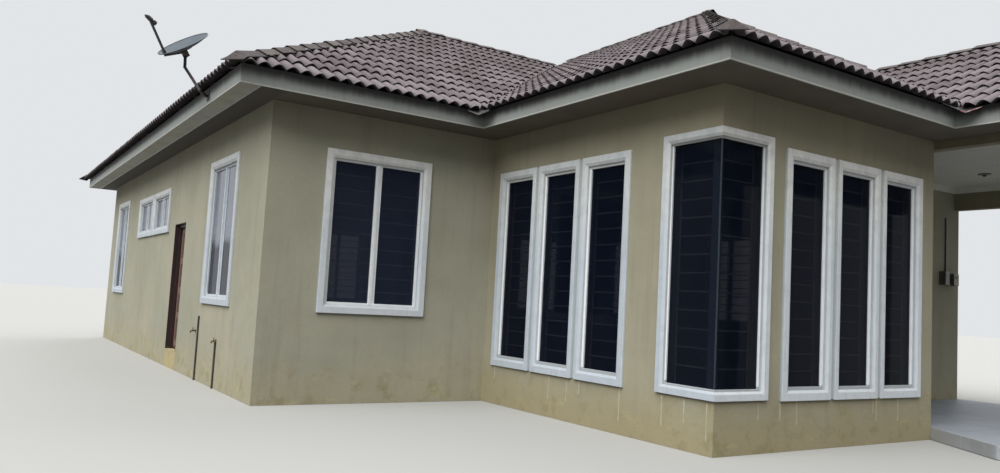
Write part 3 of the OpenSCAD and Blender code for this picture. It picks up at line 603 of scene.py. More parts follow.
def roof_faces(inset=0.0):
    """The roof faces in plan: name, a point on the eaves, the direction along them, and convex outlines of
    (point, kind of the edge to the next point)."""
    def edges(kinds, *points):
        return list(zip(points, kinds.split()))

    w, e = west + inset, east - inset
    mf, mr = main_front + inset, main_rear - inset
    bl, bf = bay_left + inset, bay_front + inset
    pl, pf = porch_left + inset, porch_front + inset
    wr, wb = wing_right - inset, wing_rear - inset
    fold = (e, porch_join[1])
    return [
        ("left", (west, main_front), (0, -1),
         [edges("eave hip ridge hip", (w, wb), (w, mf), main_peak, wing_peak)]),
        ("front", (FRONT_START, main_front), (1, 0),
         [edges("eave valley ridge hip", (w, mf), (bl, mf), main_join, main_peak)]),
        ("bay_left", (bay_left, main_front), (0, -1),
         [edges("eave hip ridge hip valley", (bl, mf), (bl, bf), bay_peak, bay_back, main_join)]),
        ("bay_front", (bay_left, bay_front), (1, 0),
         [edges("eave valley hip hip", (bl, bf), (pl, bf), porch_join, bay_peak)]),
        ("porch_left", (porch_left, bay_front), (0, -1),
         [edges("eave hip ridge valley", (pl, bf), (pl, pf), porch_peak, porch_join)]),
        ("porch_front", (porch_left, porch_front), (1, 0),
         [edges("eave hip hip", (pl, pf), (e, pf), porch_peak)]),
        ("right", (east, porch_front), (0, 1),
         [edges("eave seam ridge hip", (e, pf), fold, porch_join, porch_peak),
          edges("eave hip ridge hip seam", fold, (e, mr), bay_back, bay_peak, porch_join)]),
        ("wing_right", (wing_right, main_rear), (0, 1),
         [edges("eave hip ridge valley", (wr, mr), (wr, wb), wing_peak, main_peak)]),
        ("rear", (east, main_rear), (-1, 0),
         [edges("eave valley ridge hip", (e, mr), (wr, mr), main_peak, rear_side),
          edges("seam hip hip", rear_side, main_join, bay_back)]),
        ("wing_rear", (wing_right, wing_rear), (-1, 0),
         [edges("eave hip hip", (wr, wb), (w, wb), wing_peak)]),
    ]


# Nodes that a face's tiles stand for, where they aren't named like the face
FACE_NODES = {"right": ["roof_porch_right", "roof_right"], "wing_rear": []}

# One interlocking tile has two rolls. A course's lower lip stands above the course below.
ROLL_W, ROLL_H, GAUGE, LAP = 0.1645, 0.044, 0.385, 0.030
ROLL_SHARES = (0.0, 0.03, 0.08, 0.14, 0.21, 0.30, 0.40, 0.50, 0.60, 0.70, 0.79, 0.86, 0.92, 0.97)
CREST_SHARE, CREST_LIFT = 0.56, 0.006
LIP_T, LIP_LIFT, LIP_ROUND, LIP_TOP, LIP_BACK = 0.022, 0.028, 0.005, 0.0004, 0.012
UNDER, EAVE_UNDER = 0.050, 0.140
# How unevenly tiles lie, along the slope and across it
SLIP, SAG = 0.004, 0.002
# How far the tiles stay back from an edge
EDGE_GAPS = {"valley": 0.025, "hip": 0.030}

# Range of the tiles' own tones. The left slopes keep more dirt, and every lowest course is washed paler.
TONES = {"left": (0.15, 0.75), "bay_left": (0.20, 0.80)}
PLAIN_TONES, EAVE_TONES = (0.35, 0.90), (0.75, 1.0)


def reach_in_band(outline, low, high):
    """Least and greatest first coordinate of a convex outline between two second coordinates."""
    found = [p[0] for p in outline if low <= p[1] <= high]
    for i, a in enumerate(outline):
        b = outline[(i + 1) % len(outline)]
        for level in (low, high):
            if (a[1] - level) * (b[1] - level) < 0:
                found.append(a[0] + (b[0] - a[0]) * (level - a[1]) / (b[1] - a[1]))
    return (min(found), max(found)) if found else None


def tile_face(name, origin, along, outline):
    """Interlocking tiles over one outline of a roof face, not yet cut to it."""
    inward = (-along[1], along[0])
    up = at(inward[0] * cos(PITCH), inward[1] * cos(PITCH), sin(PITCH))
    out = at(-inward[0] * sin(PITCH), -inward[1] * sin(PITCH), cos(PITCH))
    turn = np.array([at(*along), up, out])
    foot = np.array(at(*origin, bed_z))
    steps = np.array([k + s for k in range(2) for s in ROLL_SHARES] + [2.0])
    crest = (0.5 - 0.5 * np.cos(2 * pi * steps)) ** CREST_SHARE
    n, tile_w, length = len(steps), 2 * ROLL_W, GAUGE + LAP
    faces = [(a + k, a + k + 1, a + n + k + 1, a + n + k) for a in (0, n, 3 * n, 4 * n) for k in range(n - 1)]
    smooth = [False] * (2 * n - 2) + [True] * (2 * n - 2)
    flat = []
    for point, _ in outline:
        x, y = point[0] - origin[0], point[1] - origin[1]
        flat.append((x * along[0] + y * along[1], (x * inward[0] + y * inward[1]) / cos(PITCH)))
    lowest, highest = min(p[1] for p in flat), max(p[1] for p in flat)
    shape = Shape()
    for course in range(max(0, floor(lowest / GAUGE) - 1), ceil(highest / GAUGE)):
        reach = reach_in_band(flat, course * GAUGE - UNDER, (course + 1) * GAUGE + LAP)
        if reach is None:
            continue
        tones = TONES.get(name, PLAIN_TONES) if course or name == "left" else EAVE_TONES
        under = UNDER if course else EAVE_UNDER
        for column in range(floor(reach[0] / tile_w) - 1, ceil(reach[1] / tile_w) + 1):
            chance = Random(f"{name} {course} {column}")
            low = course * GAUGE + chance.uniform(-SLIP, SLIP) * (course > 0)
            lift = LIP_LIFT + chance.uniform(-SAG, SAG)
            sag = chance.uniform(-SAG, SAG)
            rows = []
            for t, down in ((under, LIP_T), (LIP_BACK, LIP_T), (0, LIP_ROUND), (0, LIP_ROUND),
                    (LIP_ROUND, LIP_TOP), (length, 0)):
                share = 1 - t / length
                height = crest * (ROLL_H + CREST_LIFT * share) + lift * share - down + sag
                rows.append(np.stack([column * tile_w + steps * ROLL_W, np.full(n, low + t), height], axis=1))
            points = np.concatenate(rows) @ turn + foot
            shape.add(points.tolist(), faces, smooth, chance.uniform(*tones), crest.tolist() * len(rows))
    return shape


def show_cut(name, look, cuts, stands_for=()):
    """One piece of shapes that are each cut to an outline of (point, kind of edge). Eaves stay uncut."""
    whole = bmesh.new()
    for shape, outline in cuts:
        data = shape.mesh("part")
        work = bmesh.new()
        work.from_mesh(data)
        for (point, kind), (after, _) in zip(outline, outline[1:] + outline[:1]):
            if kind == "eave":
                continue
            run = at(after[0] - point[0], after[1] - point[1]).normalized()
            inside = at(-run.y, run.x)
            everything = work.verts[:] + work.edges[:] + work.faces[:]
            edge = at(*point) + inside * EDGE_GAPS.get(kind, 0.0)
            bmesh.ops.bisect_plane(work, geom=everything, plane_co=edge, plane_no=-inside, clear_outer=True)
        work.to_mesh(data)
        work.free()
        whole.from_mesh(data)
        bpy.data.meshes.remove(data)
    data = bpy.data.meshes.new(name)
    whole.to_mesh(data)
    whole.free()
    show(data, name, look, stands_for=stands_for)


def tiled_roof():
    for name, origin, along, outlines in roof_faces():
        cuts = [(tile_face(name, origin, along, outline), outline) for outline in outlines]
        show_cut("tiles_" + name, "concrete_tile", cuts, FACE_NODES.get(name, ["roof_" + name]))


UNDERLAY_IN, UNDERLAY_DOWN, UNDERLAY_T = DRIP + 0.004, 0.030, 0.008


def underlay():
    """Dark sheeting below the tiles, from the fascia up, so no gap shows the sky."""
    shape = Shape()
    for _, origin, along, outlines in roof_faces(UNDERLAY_IN):
        for outline in outlines:
            n = len(outline)
            runs = [(x - origin[0]) * -along[1] + (y - origin[1]) * along[0] for (x, y), _ in outline]
            top = [(*p, bed_z + RISE * run - UNDERLAY_DOWN) for (p, _), run in zip(outline, runs)]
            low = [(x, y, z - UNDERLAY_T) for x, y, z in top]
            sides = [(i, i + n, (i + 1) % n + n, (i + 1) % n) for i in range(n)]
            shape.add(top + low, [tuple(range(n)), tuple(reversed(range(n, 2 * n)))] + sides)
    show(shape, "roof_underlay", "valley_flashing")


# Ridge and hip caps lie in overlapping courses from the foot of each run
CAP_STEP, CAP_L, CAP_LEAST, CAP_OVER = 0.385, 0.440, 0.06, 0.05
CAP_HALF, CAP_TOP, CAP_SHOULDER, CAP_FALL, CAP_T = 0.125, 0.022, 0.006, 0.064, 0.010
CAP_Z, CAP_LIFT, CAP_OUT, CAP_TIP = 0.076, 0.020, 0.030, 0.12
# The lowest cap of a hip is longer, lifted, and closed by a sloping nose
NOSE, NOSE_WIDE, STARTER_L, STARTER_LIFT = 0.110, 1.15, 0.480, 0.020
# The mortar under them: its start under a lowest cap and elsewhere, its step, half width, top and foot
BED_STARTER, BED_START, BED_STEP = 0.34, 0.03, 0.16
BED_HALF, BED_TOP, BED_FOOT = CAP_HALF * 0.80, CAP_Z - 0.022, -0.055


def cap_profile(shrink):
    """Straight-sided angle section of a cap with a rounded top, from its left wing to its right one."""
    outer = [(-CAP_HALF, -CAP_FALL), (-CAP_TOP, -CAP_SHOULDER), (-CAP_TOP * 0.45, 0), (CAP_TOP * 0.45, 0),
            (CAP_TOP, -CAP_SHOULDER), (CAP_HALF, -CAP_FALL)]
    return [(x * (1 - shrink * 3), z - shrink * 1.1) for x, z in outer]


def lay_caps(caps, bed, a, b, start, end, starter, chance):
    """Caps and their bedding along a roof line, from a up to b."""
    length, ahead = (b - a).length, (b - a).normalized()
    across = UP.cross(ahead).normalized()
    out = ahead.cross(across)
    outer, inner = cap_profile(0), cap_profile(CAP_T)[::-1]
    s, first = start, starter
    while s < length - end - CAP_LEAST:
        step = STARTER_L + NOSE if first else CAP_STEP
        far = min(s + step + CAP_L - CAP_STEP, length - end + CAP_OVER)
        lift = CAP_LIFT + chance.uniform(-0.005, 0.005)
        lean = chance.uniform(-0.006, 0.006)
        twist = chance.uniform(-0.02, 0.02)
        rows = []
        if first:
            flat = [(y, -CAP_FALL) for y, _ in outer] + [(y, -CAP_FALL - CAP_T) for y, _ in inner]
            rows.append([a + ahead * s + across * (y * NOSE_WIDE) + out * (CAP_Z + lift + z)
                for y, z in flat])
            s, lift, step = s + NOSE, lift + STARTER_LIFT, STARTER_L
        for x, rise, size in ((s, lift, 1.0), (s + 0.006, lift + 0.001, 1.0), (far, 0, 0.93)):
            rows.append([a + ahead * x + across * (y * size + lean)
                + out * (CAP_Z + rise + z + y * size * twist)
                for y, z in outer + inner])
        caps.rings(rows, tone=0.0 if first else chance.random())
        s, first = s + step, False
    rows = []
    x = start + (BED_STARTER if starter else BED_START)
    while x < length - end:
        wide = BED_HALF + chance.uniform(-0.010, 0.010)
        top = BED_TOP + chance.uniform(-0.006, 0.006)
        side = top - 0.045
        rows.append([a + ahead * x + across * y + out * z for y, z in
                ((-wide, BED_FOOT), (-wide * 0.9, side), (-0.04, top), (0.04, top), (wide * 0.9, side),
                (wide, BED_FOOT), (0, BED_FOOT + 0.03))])
        x += BED_STEP
    if len(rows) > 1:
        bed.rings(rows)


def capped_roof():
    """Caps on every ridge and hip: foot and head, each with its run from the eaves, and the ends of its caps.
    Those that start at the eaves have a starter."""
    caps, bed = Shape(), Shape()
    at_eaves = (-CAP_OUT, CAP_TIP)
    lines = [
        ((west, main_front), 0, main_peak, main_run, at_eaves),
        ((west, wing_rear), 0, wing_peak, wing_run, at_eaves),
        ((wing_right, wing_rear), 0, wing_peak, wing_run, at_eaves),
        ((bay_left, bay_front), 0, bay_peak, bay_run, at_eaves),
        (porch_join, porch_run, bay_peak, bay_run, (0.16, CAP_TIP)),
        ((porch_left, porch_front), 0, porch_peak, porch_run, at_eaves),
        ((east, porch_front), 0, porch_peak, porch_run, at_eaves),
        ((east, main_rear), 0, bay_back, bay_run, at_eaves),
        (main_join, main_run, main_peak, main_run, (0.10, -0.10)),
        (wing_peak, main_run, main_peak, main_run, (-0.10, 0.10)),
        (bay_back, bay_run, bay_peak, bay_run, (-0.10, -0.10)),
        (porch_join, porch_run, porch_peak, porch_run, (0.10, -0.10)),
    ]
    for i, (foot, low_run, head, high_run, ends) in enumerate(lines):
        a, b = (at(*p, bed_z + run * RISE) for p, run in ((foot, low_run), (head, high_run)))
        lay_caps(caps, bed, a, b, *ends, low_run == 0, Random(100 + i))
    show(caps, "cap_tiles", "concrete_cap", stands_for=["roof_caps"])
    show(bed, "cap_bedding", "bedding_mortar")


# Metal trays in the valleys: how far their wings and their lower end reach
VALLEY_W, SHORT_W, LONG_W, TRAY_OUT = 0.14, 0.055, 0.170, 0.140
VALLEY_T, TRAY_DOWN, TRAY_LIP, LIP_METAL = 0.004, 0.012, 0.011, 0.003


def tray_row(centre, across, rise, down, wings):
    """Right wing, fold and left wing of a tray, a little below its upper face."""
    right, left = wings
    return [centre - across * right + UP * (right * rise - down), centre - UP * down,
            centre + across * left + UP * (left * rise - down)]


def valleys():
    """Folded metal trays in the valleys, that end past the tile edge in a turned-down lip."""
    trays, grey_lip, red_lip = Shape(), Shape(), Shape()
    even = (VALLEY_W, VALLEY_W)
    rise = RISE * sqrt(0.5)
    for foot, head, lip, wings in (((bay_left, main_front), main_join, grey_lip, even),
            ((porch_left, bay_front), porch_join, red_lip, (LONG_W, SHORT_W)),
            ((wing_right, main_rear), main_peak, grey_lip, even)):
        run = at(head[0] - foot[0], head[1] - foot[1])
        ahead = run.normalized()
        across = at(-ahead.y, ahead.x)
        start = at(*foot, bed_z - TRAY_DOWN)
        low = start - ahead * TRAY_OUT - UP * (TRAY_OUT * rise)
        high = start + run + UP * (run.length * rise)
        trays.rings([tray_row(p, across, rise, 0, wings) + tray_row(p, across, rise, VALLEY_T, wings)[::-1]
                for p in (low, high)])
        front = tray_row(low - ahead * 0.002, across, rise, -VALLEY_T, wings)
        ahead, down = ahead * LIP_METAL, UP * TRAY_LIP
        lip.rings([[p, p - ahead, p - ahead - down, p - down] for p in front])
    show(trays, "valley_trays", "valley_flashing")
    show(grey_lip, "valley_lips_grey", "meter_plastic")
    show(red_lip, "valley_lip_red", "red_primer")


# Windows. A wall is its origin, the way to the right along it and the way out of it.


def on_wall(x, y, face):
    out = {"front": (0, -1), "left": (-1, 0), "rear": (0, 1), "right": (1, 0)}[face]
    return at(x, y), at(-out[1], out[0]), at(*out)


def stations(wall, x0, x1, z0, z1):
    """Corners of an opening on a wall, each as (point, way in along the wall's face, way out)."""
    origin, right, out = wall
    return [(origin + right * x + UP * z, right * side + UP * rise, out)
            for x, z, side, rise in ((x0, z0, 1, 1), (x1, z0, -1, 1), (x1, z1, -1, -1), (x0, z1, 1, -1))]


def corner_stations(inset=0.0):
    """The corner window's outline, which folds round the corner of the bay."""
    corner = at(bay_x, bay_y)
    side_out, front_out = at(-1, 0), at(0, -1)
    side_end = corner - front_out * (CORNER_SIDE_W - inset)
    front_end = corner - side_out * (CORNER_FRONT_W - inset)
    row = [(side_end, front_out, side_out), (corner, at(0, 0), side_out + front_out),
           (front_end, side_out, front_out)]
    low, high = UP * (CORNER_Z + inset), UP * (CORNER_Z + CORNER_H - inset)
    return ([(p + low, UP + way_in, out) for p, way_in, out in row]
            + [(p + high, way_in - UP, out) for p, way_in, out in reversed(row)])


def moulding(shape, corners, profile):
    """Sweeps a profile of (in, out) points round an opening's corners, with mitred joints."""
    shape.rings([[p + way_in * a + way_out * b for a, b in profile] for p, way_in, way_out in corners], True)


# How far the raised band stands in from the outline, at a free side and at a joint with the next window
FREE_GAP, JOINT_GAP = 0.011, 0.034
BAND_W, BAND_OUT, SPLAY = 0.122, 0.036, 0.72


def trim_profile(width):
    """Raised masonry band: a flat face, a splay towards the opening, and the painted reveal."""
    splay = width * SPLAY
    return [(FREE_GAP, 0.0), (FREE_GAP, BAND_OUT - 0.003), (FREE_GAP + 0.003, BAND_OUT), (splay, BAND_OUT),
            (splay + 0.003, BAND_OUT - 0.003), (width - 0.003, BAND_OUT - 0.016), (width, BAND_OUT - 0.019),
            (width + 0.001, -REVEAL), (TRIM - 0.02, -REVEAL), (TRIM - 0.02, 0.0)]


def mark_shaded_recesses(shape, profile, count):
    """Marks the foot and the reveal of the last count bands for painted shade and dirt."""
    marks = [0.0 if out <= 0 else 0.5 for _, out in profile] * count
    shape.crest[-len(marks):] = marks


def surround(shape, wall, x0, x1, z0, z1, joints):
    """A window's raised band. Its sides stand further back where another window joins on."""
    origin, right, out = wall
    profile = trim_profile(BAND_W)
    rows = []
    for x, z, side, rise, joined in ((x0, z0, 1, 1, joints[0]), (x1, z0, -1, 1, joints[1]),
            (x1, z1, -1, -1, joints[1]), (x0, z1, 1, -1, joints[0])):
        tuck = JOINT_GAP - FREE_GAP if joined else 0.0
        rows.append([origin + right * (x + side * (a + (tuck if a < TRIM / 2 else 0.0))) + out * b
                + UP * (z + rise * a) for a, b in profile])
    shape.rings(rows, True)
    mark_shaded_recesses(shape, profile, len(rows))
    if joints[1]:
        # The strip between joined windows is marked for painted shade and dirt too
        half = JOINT_GAP + 0.004
        shape.bar(wall, (x1 - half, x1 + half), (z0 + 0.020, z1 - 0.020), (0.004, -0.016), 0.0)


def frame_profile(width):
    """Aluminium frame: a flat front, a bevel, and the glazing bead."""
    return [(0.0, -REVEAL), (0.002, -REVEAL + 0.002), (width - 0.004, -REVEAL + 0.002),
            (width, -REVEAL - 0.002), (width, -REVEAL - BAR_D + 0.006), (width * 0.8, -REVEAL - BAR_D),
            (0.0, -REVEAL - BAR_D)]


# Security bars: how deep they lie, half their width, and about how far they and their posts stand apart
GRILLE_D, GRILLE_HALF, GRILLE_POST, GRILLE_GAP, POST_GAP = 0.136, 0.008, 0.012, 0.190, 0.55
# How far the glazing bead laps over the panes, and how far the bars stay inside the frame
BEAD_W, GRILLE_IN = 0.008, 0.01


def grille(shape, wall, x0, x1, z0, z1):
    """Level security bars behind the glass, with a post at each end and between."""
    depth, half = GRILLE_D, GRILLE_HALF
    gaps = max(2, round((z1 - z0) / GRILLE_GAP))
    for k in range(1, gaps):
        z = z0 + (z1 - z0) * k / gaps
        shape.bar(wall, (x0, x1), (z - half, z + half), (depth - half, depth + half))
    posts = max(1, round((x1 - x0) / POST_GAP))
    for k in range(posts + 1):
        x = x0 + half + (x1 - x0 - 2 * half) * k / posts
        shape.bar(wall, (x - half, x + half), (z0, z1), (depth + half, depth + half + GRILLE_POST))


def window_list():
    """Every plain window: group, wall, width, foot, height, panes, and a joint on its left and right."""
    def pair(group, x, y, face):
        return group, on_wall(x, y, face), PAIR_W, PAIR_Z, PAIR_H, 2, (False, False)

    high_y = front_y + DOOR_Y + DOOR_W + HIGH_Y + HIGH_W / 2
    found = [pair("left", left_x, front_y + 1.975, "left")]
    found += [("left", on_wall(left_x, y, "left"), HIGH_W, HIGH_Z, HIGH_H, 2, joints)
            for y, joints in ((high_y, (True, False)), (high_y + HIGH_W, (False, True)))]
    found += [pair("left", left_x, rear_y - 1.700, "left"), pair("front", left_x + 1.472, front_y, "front")]
    for i in range(3):
        joints = (i > 0, i < 2)
        found.append(("front", on_wall(bay_x, front_y - 0.231 - (i + 0.5) * TALL_W, "left"),
                TALL_W, TALL_Z, TALL_H, 1, joints))
        found.append(("front", on_wall(bay_x + 0.967 + (i + 0.5) * FRONT_TALL_W, bay_y, "front"),
                FRONT_TALL_W, TALL_Z, TALL_H, 1, joints))
        found.append(pair("rear", right_x, porch_rear_y + (i + 0.5) * (main_y - porch_rear_y) / 3, "right"))
    found += [pair("rear", left_x + (i + 0.5) * (wing_x - left_x) / 2, rear_y, "rear") for i in range(2)]
    return found + [pair("rear", (wing_x + right_x) / 2, main_y, "rear"),
            pair("rear", wing_x, (main_y + rear_y) / 2, "right")]


def windows():
    trims, frames, bars = ({g: Shape() for g in ("left", "front", "rear")} for _ in range(3))
    for group, wall, width, foot, height, panes, joints in window_list():
        surround(trims[group], wall, -width / 2, width / 2, foot, foot + height, joints)
        hole = width / 2 - TRIM
        z0, z1 = foot + TRIM, foot + height - TRIM
        moulding(frames[group], stations(wall, -hole, hole, z0, z1), frame_profile(BAR + BEAD_W))
        if panes == 2:
            # The two overlapping stiles where the sashes meet
            x = -hole + BAR + (2 * (hole - BAR) - MID_BAR) / 2
            for x0, x1, d0, d1 in ((0, 0.052, -0.003, 0.018), (0.008, 0.044, -0.006, -0.003),
                    (0.046, MID_BAR, 0.018, BAR_D)):
                frames[group].bar(wall, (x + x0, x + x1), (z0 + BAR * 0.6, z1 - BAR * 0.6),
                        (REVEAL + d0, REVEAL + d1))
        grille(bars[group], wall, -hole + GRILLE_IN, hole - GRILLE_IN, z0 + GRILLE_IN, z1 - GRILLE_IN)
    moulding(trims["front"], corner_stations(), trim_profile(TRIM))
    mark_shaded_recesses(trims["front"], trim_profile(TRIM), len(corner_stations()))
    moulding(frames["front"], corner_stations(TRIM), frame_profile(CORNER_BAR))
    edge = TRIM + GRILLE_IN
    for face, x0, x1 in (("left", -CORNER_SIDE_W + edge, -WALL), ("front", WALL, CORNER_FRONT_W - edge)):
        wall = on_wall(bay_x, bay_y, face)
        grille(bars["front"], wall, x0, x1, CORNER_Z + edge, CORNER_Z + CORNER_H - edge)
    for group in trims:
        show(trims[group], group + "_mouldings", "white_masonry_paint",
             stands_for=[group + "_window_surrounds"])
        # The left wall's frames keep the plain coat; the others get its paler copy with painted light
        metal = "white_powder_coat" if group == "left" else "powder_coat_painted_light"
        show(frames[group], group + "_sashes", metal, stands_for=[group + "_window_frames"])
        show(bars[group], group + "_grilles", "grille_paint")


SEAL_HALF = 0.007


def corner_joint():
    """The clear seal where the corner window's two panes meet, and the steel post behind it."""
    x, y = bay_x + REVEAL + BAR_D / 2, bay_y + REVEAL + BAR_D / 2
    z0, z1 = CORNER_Z + TRIM + CORNER_BAR, CORNER_Z + CORNER_H - TRIM - CORNER_BAR
    seal, post = Shape(), Shape()
    seal.box((x - SEAL_HALF, y - SEAL_HALF, z0), (x + SEAL_HALF, y + SEAL_HALF, z1))
    show(seal, "corner_seal", "corner_seal", soft=0.003)
    post.box((bay_x + 0.100, bay_y + 0.100, z0), (bay_x + 0.146, bay_y + 0.200, z1))
    show(post, "corner_post", "post_paint", soft=0.004)


BOARD_W, BOARD_T, BEAD = 0.215, 0.003, 0.016


def soffit_boards():
    """The pale outer board under the left eaves, and the bead on its inner edge."""
    board, bead = Shape(), Shape()
    edge = DRIP + FASCIA_T + 0.001
    low, high = west + edge, west + edge + BOARD_W
    y0, y1 = main_front + edge, wing_rear - edge
    board.box((low, y0, SOFFIT_Z - BOARD_T), (high, y1, SOFFIT_Z))
    bead.box((high - BEAD / 2, y0, SOFFIT_Z - BEAD / 2), (high + BEAD / 2, y1, SOFFIT_Z))
    show(board, "soffit_board", "soffit_board")
    show(bead, "soffit_bead", "white_powder_coat", soft=0.003, segments=1)


# The satellite dish: its bowl, its place and turn, the arm, and the receiver that the arm carries

DISH_D, DISH_SAG, DISH_T, RIM_D = 0.660, 0.070, 0.005, 0.014
DISH_R = (DISH_D * DISH_D / 4 + DISH_SAG * DISH_SAG) / (2 * DISH_SAG)
DISH_TILT, DISH_TURN = radians(39.4), radians(25.3)
DISH_PLACE = (west - 0.191, front_y + 1.080, SOFFIT_Z + FASCIA_H + 0.506)
ARM_FOOT, ARM_L, ARM_LEAN, ARM_W, ARM_CLAMP = 0.318, 0.450, radians(4.3), 0.024, 0.004
RECEIVER_AIM, RECEIVER_BACK, BEAM_DOWN = radians(28.4), -0.0525, -0.028
RECEIVER = [(0.019, RECEIVER_BACK), (0.023, -0.048), (0.023, -0.010), (0.027, -0.009), (0.027, 0.012),
        (0.023, 0.013), (0.023, 0.052), (0.031, 0.066), (0.031, 0.092), (0.028, 0.097)]
PLUG = [(0.006, 0), (0.006, 0.012), (0.004, 0.013), (0.004, 0.020)]


def moved(x, y, z):
    return Matrix.Translation((x, y, z))


def turned(angle, axis):
    return Matrix.Rotation(angle, 4, axis)


def circle(n):
    return [(cos(2 * pi * k / n), sin(2 * pi * k / n)) for k in range(n)]


def lathe(shape, matrix, profile, n=32, closed=False):
    """Turns a profile of (radius, height) round the matrix's own z axis."""
    rows = [placed(matrix, [(r * c, r * s, z) for c, s in circle(n)]) for r, z in profile]
    shape.rings(rows, closed, closed)


def dish():
    """The bowl with its rolled rim, and the beam, arm and receiver that it carries."""
    home = (moved(*DISH_PLACE) @ turned(DISH_TURN, "Z") @ turned(-DISH_TILT, "Y")
            @ moved(0, 0, -DISH_SAG / 2))
    span = asin(DISH_D / 2 / DISH_R)
    arc = [(DISH_R * sin(span * i / 16), DISH_R - DISH_R * cos(span * i / 16)) for i in range(17)]
    arc[0] = (0.0008, 0.0)
    bowl = Shape()
    lathe(bowl, home, arc + [(r, z + DISH_T) for r, z in reversed(arc)], 96, True)
    rim = [(DISH_D / 2 + RIM_D / 2 * c, DISH_SAG + DISH_T / 2 + RIM_D / 2 * s) for c, s in circle(12)]
    lathe(bowl, home, rim, 96, True)
    show(bowl, "dish_bowl", "dish_paint", stands_for=["dish"])

    dark = Shape()
    half, wide = ARM_W / 2, ARM_W / 2 + ARM_CLAMP
    rim_x = -DISH_D / 2 - RIM_D / 2
    under = [(-r, z + 0.002) for r, z in arc[4:]] + [(rim_x, DISH_SAG), (rim_x, DISH_SAG + BEAM_DOWN),
            (-arc[4][0], BEAM_DOWN)]
    n = len(under)
    dark.add(placed(home, [(x, y, z) for y in (-half, half) for x, z in under]),
            [tuple(range(n)), tuple(reversed(range(n, 2 * n)))]
            + [((i + 1) % n, i, i + n, (i + 1) % n + n) for i in range(n)])
    foot_z = DISH_R - sqrt(DISH_R * DISH_R - ARM_FOOT * ARM_FOOT) + DISH_T / 2
    arm = home @ moved(-ARM_FOOT, 0, foot_z) @ turned(ARM_LEAN, "Y")
    dark.box((-half, -half, 0), (half, half, ARM_L), arm)
    dark.box((-wide, -wide, ARM_CLAMP), (wide, wide, 0.050), arm)
    head = arm @ moved(0, 0, ARM_L) @ turned(pi - RECEIVER_AIM - ARM_LEAN, "Y")
    lathe(dark, head, RECEIVER)
    dark.box((-0.029, -0.012, -0.030), (-0.018, 0.012, 0.034), head)
    for y in (-0.009, 0.009):
        lathe(dark, head @ moved(0, y, RECEIVER_BACK) @ turned(pi, "X"), PLUG, 12)
    show(dark, "dish_arm", "black_plastic", stands_for=["dish"], soft=0.0015, segments=1)


# Taps, meters and dried paint


def tube(shape, points, radius, n=12):
    """A round bar through points, mitred at its bends."""
    points = [Vector(p) for p in points]
    rows = []
    for i, p in enumerate(points):
        before = (p - points[i - 1]).normalized() if i else (points[1] - p).normalized()
        after = (points[i + 1] - p).normalized() if i < len(points) - 1 else before
        ahead = (before + after).normalized()
        u = ahead.cross(UP if abs(ahead.z) < 0.9 else at(0, 1)).normalized()
        v = u.cross(ahead)
        size = radius / max(0.5, ahead.dot(before))
        rows.append([p + (u * c + v * s) * size for c, s in circle(n)])
    shape.rings(rows, smooth=True)


PIPE_OUT, NEAR_TAP_Y = 0.0135, front_y + 1.750


def taps():
    """A bib tap on the wall by the far standpipe, and one on the near standpipe's top."""
    shape = Shape()
    wall = left_x
    for y, z, reach, start in ((front_y + 2.965, 0.712, 0.070, 0.0), (NEAR_TAP_Y, 0.642, 0.058, PIPE_OUT)):
        stem = wall - reach * 0.6
        tube(shape, [(wall - start, y, z), (stem, y, z), (wall - reach, y, z - 0.006),
                (wall - reach - 0.012, y, z - 0.030)], 0.011)
        tube(shape, [(stem, y, z), (stem, y, z + 0.038)], 0.006)
        tube(shape, [(stem, y - 0.026, z + 0.040), (stem, y + 0.026, z + 0.040)], 0.005)
        if start == 0.0:
            tube(shape, [(wall, y, z), (wall - 0.006, y, z)], 0.022, 20)
    x = wall - PIPE_OUT
    tube(shape, [(x, NEAR_TAP_Y, 0.600), (x, NEAR_TAP_Y, 0.660)], 0.0175, 16)
    show(shape, "taps", "tap_brass")


# The meter board's right edge, and its boxes: piece, from and to, each as (left of that edge, out, up)
BOARD_X = right_x - 0.210
METER_BOXES = [
    ("grey", (0.410 - 0.004, 0.113, 2.104), (0.280 + 0.004, 0.110, 2.326)),
    ("grey", (0.395, 0.117, 2.230), (0.295, 0.113, 2.310)),
    ("cream", (0.156, 0.124, 2.104), (0.004, 0.120, 2.296)),
    ("cream", (0.130, 0.128, 2.205), (0.030, 0.124, 2.275)),
    ("dark", (0.120, 0.129, 2.215), (0.040, 0.128, 2.265)),
] + [("dark", (0.262 - k * 0.036, 0.073, 2.120), (0.240 - k * 0.036, 0.070, 2.290)) for k in range(3)]


def meters():
    """Covers, windows and cable runs of the meter board."""
    shapes = {"grey": Shape(), "cream": Shape(), "dark": Shape()}
    for name, *ends in METER_BOXES:
        shapes[name].box(*((BOARD_X - x, porch_rear_y - y, z) for x, y, z in ends))
    show(shapes["grey"], "fuse_box_cover", "grey_case", soft=0.002)
    show(shapes["cream"], "meter_cover", "cream_case", soft=0.002)
    show(shapes["dark"], "meter_window", "black_plastic")


# Where paint ran down, along the bay's side and front, and from how high
SIDE_RUNS = (0.382, 1.62, 1.98, 2.22, 2.93, 3.585, 3.90, 4.205)
FRONT_RUNS = (3.81, 4.15, 4.42, 5.795, 5.86, 6.30)
RUN_TOP, RUN_T = 0.508, 0.0012


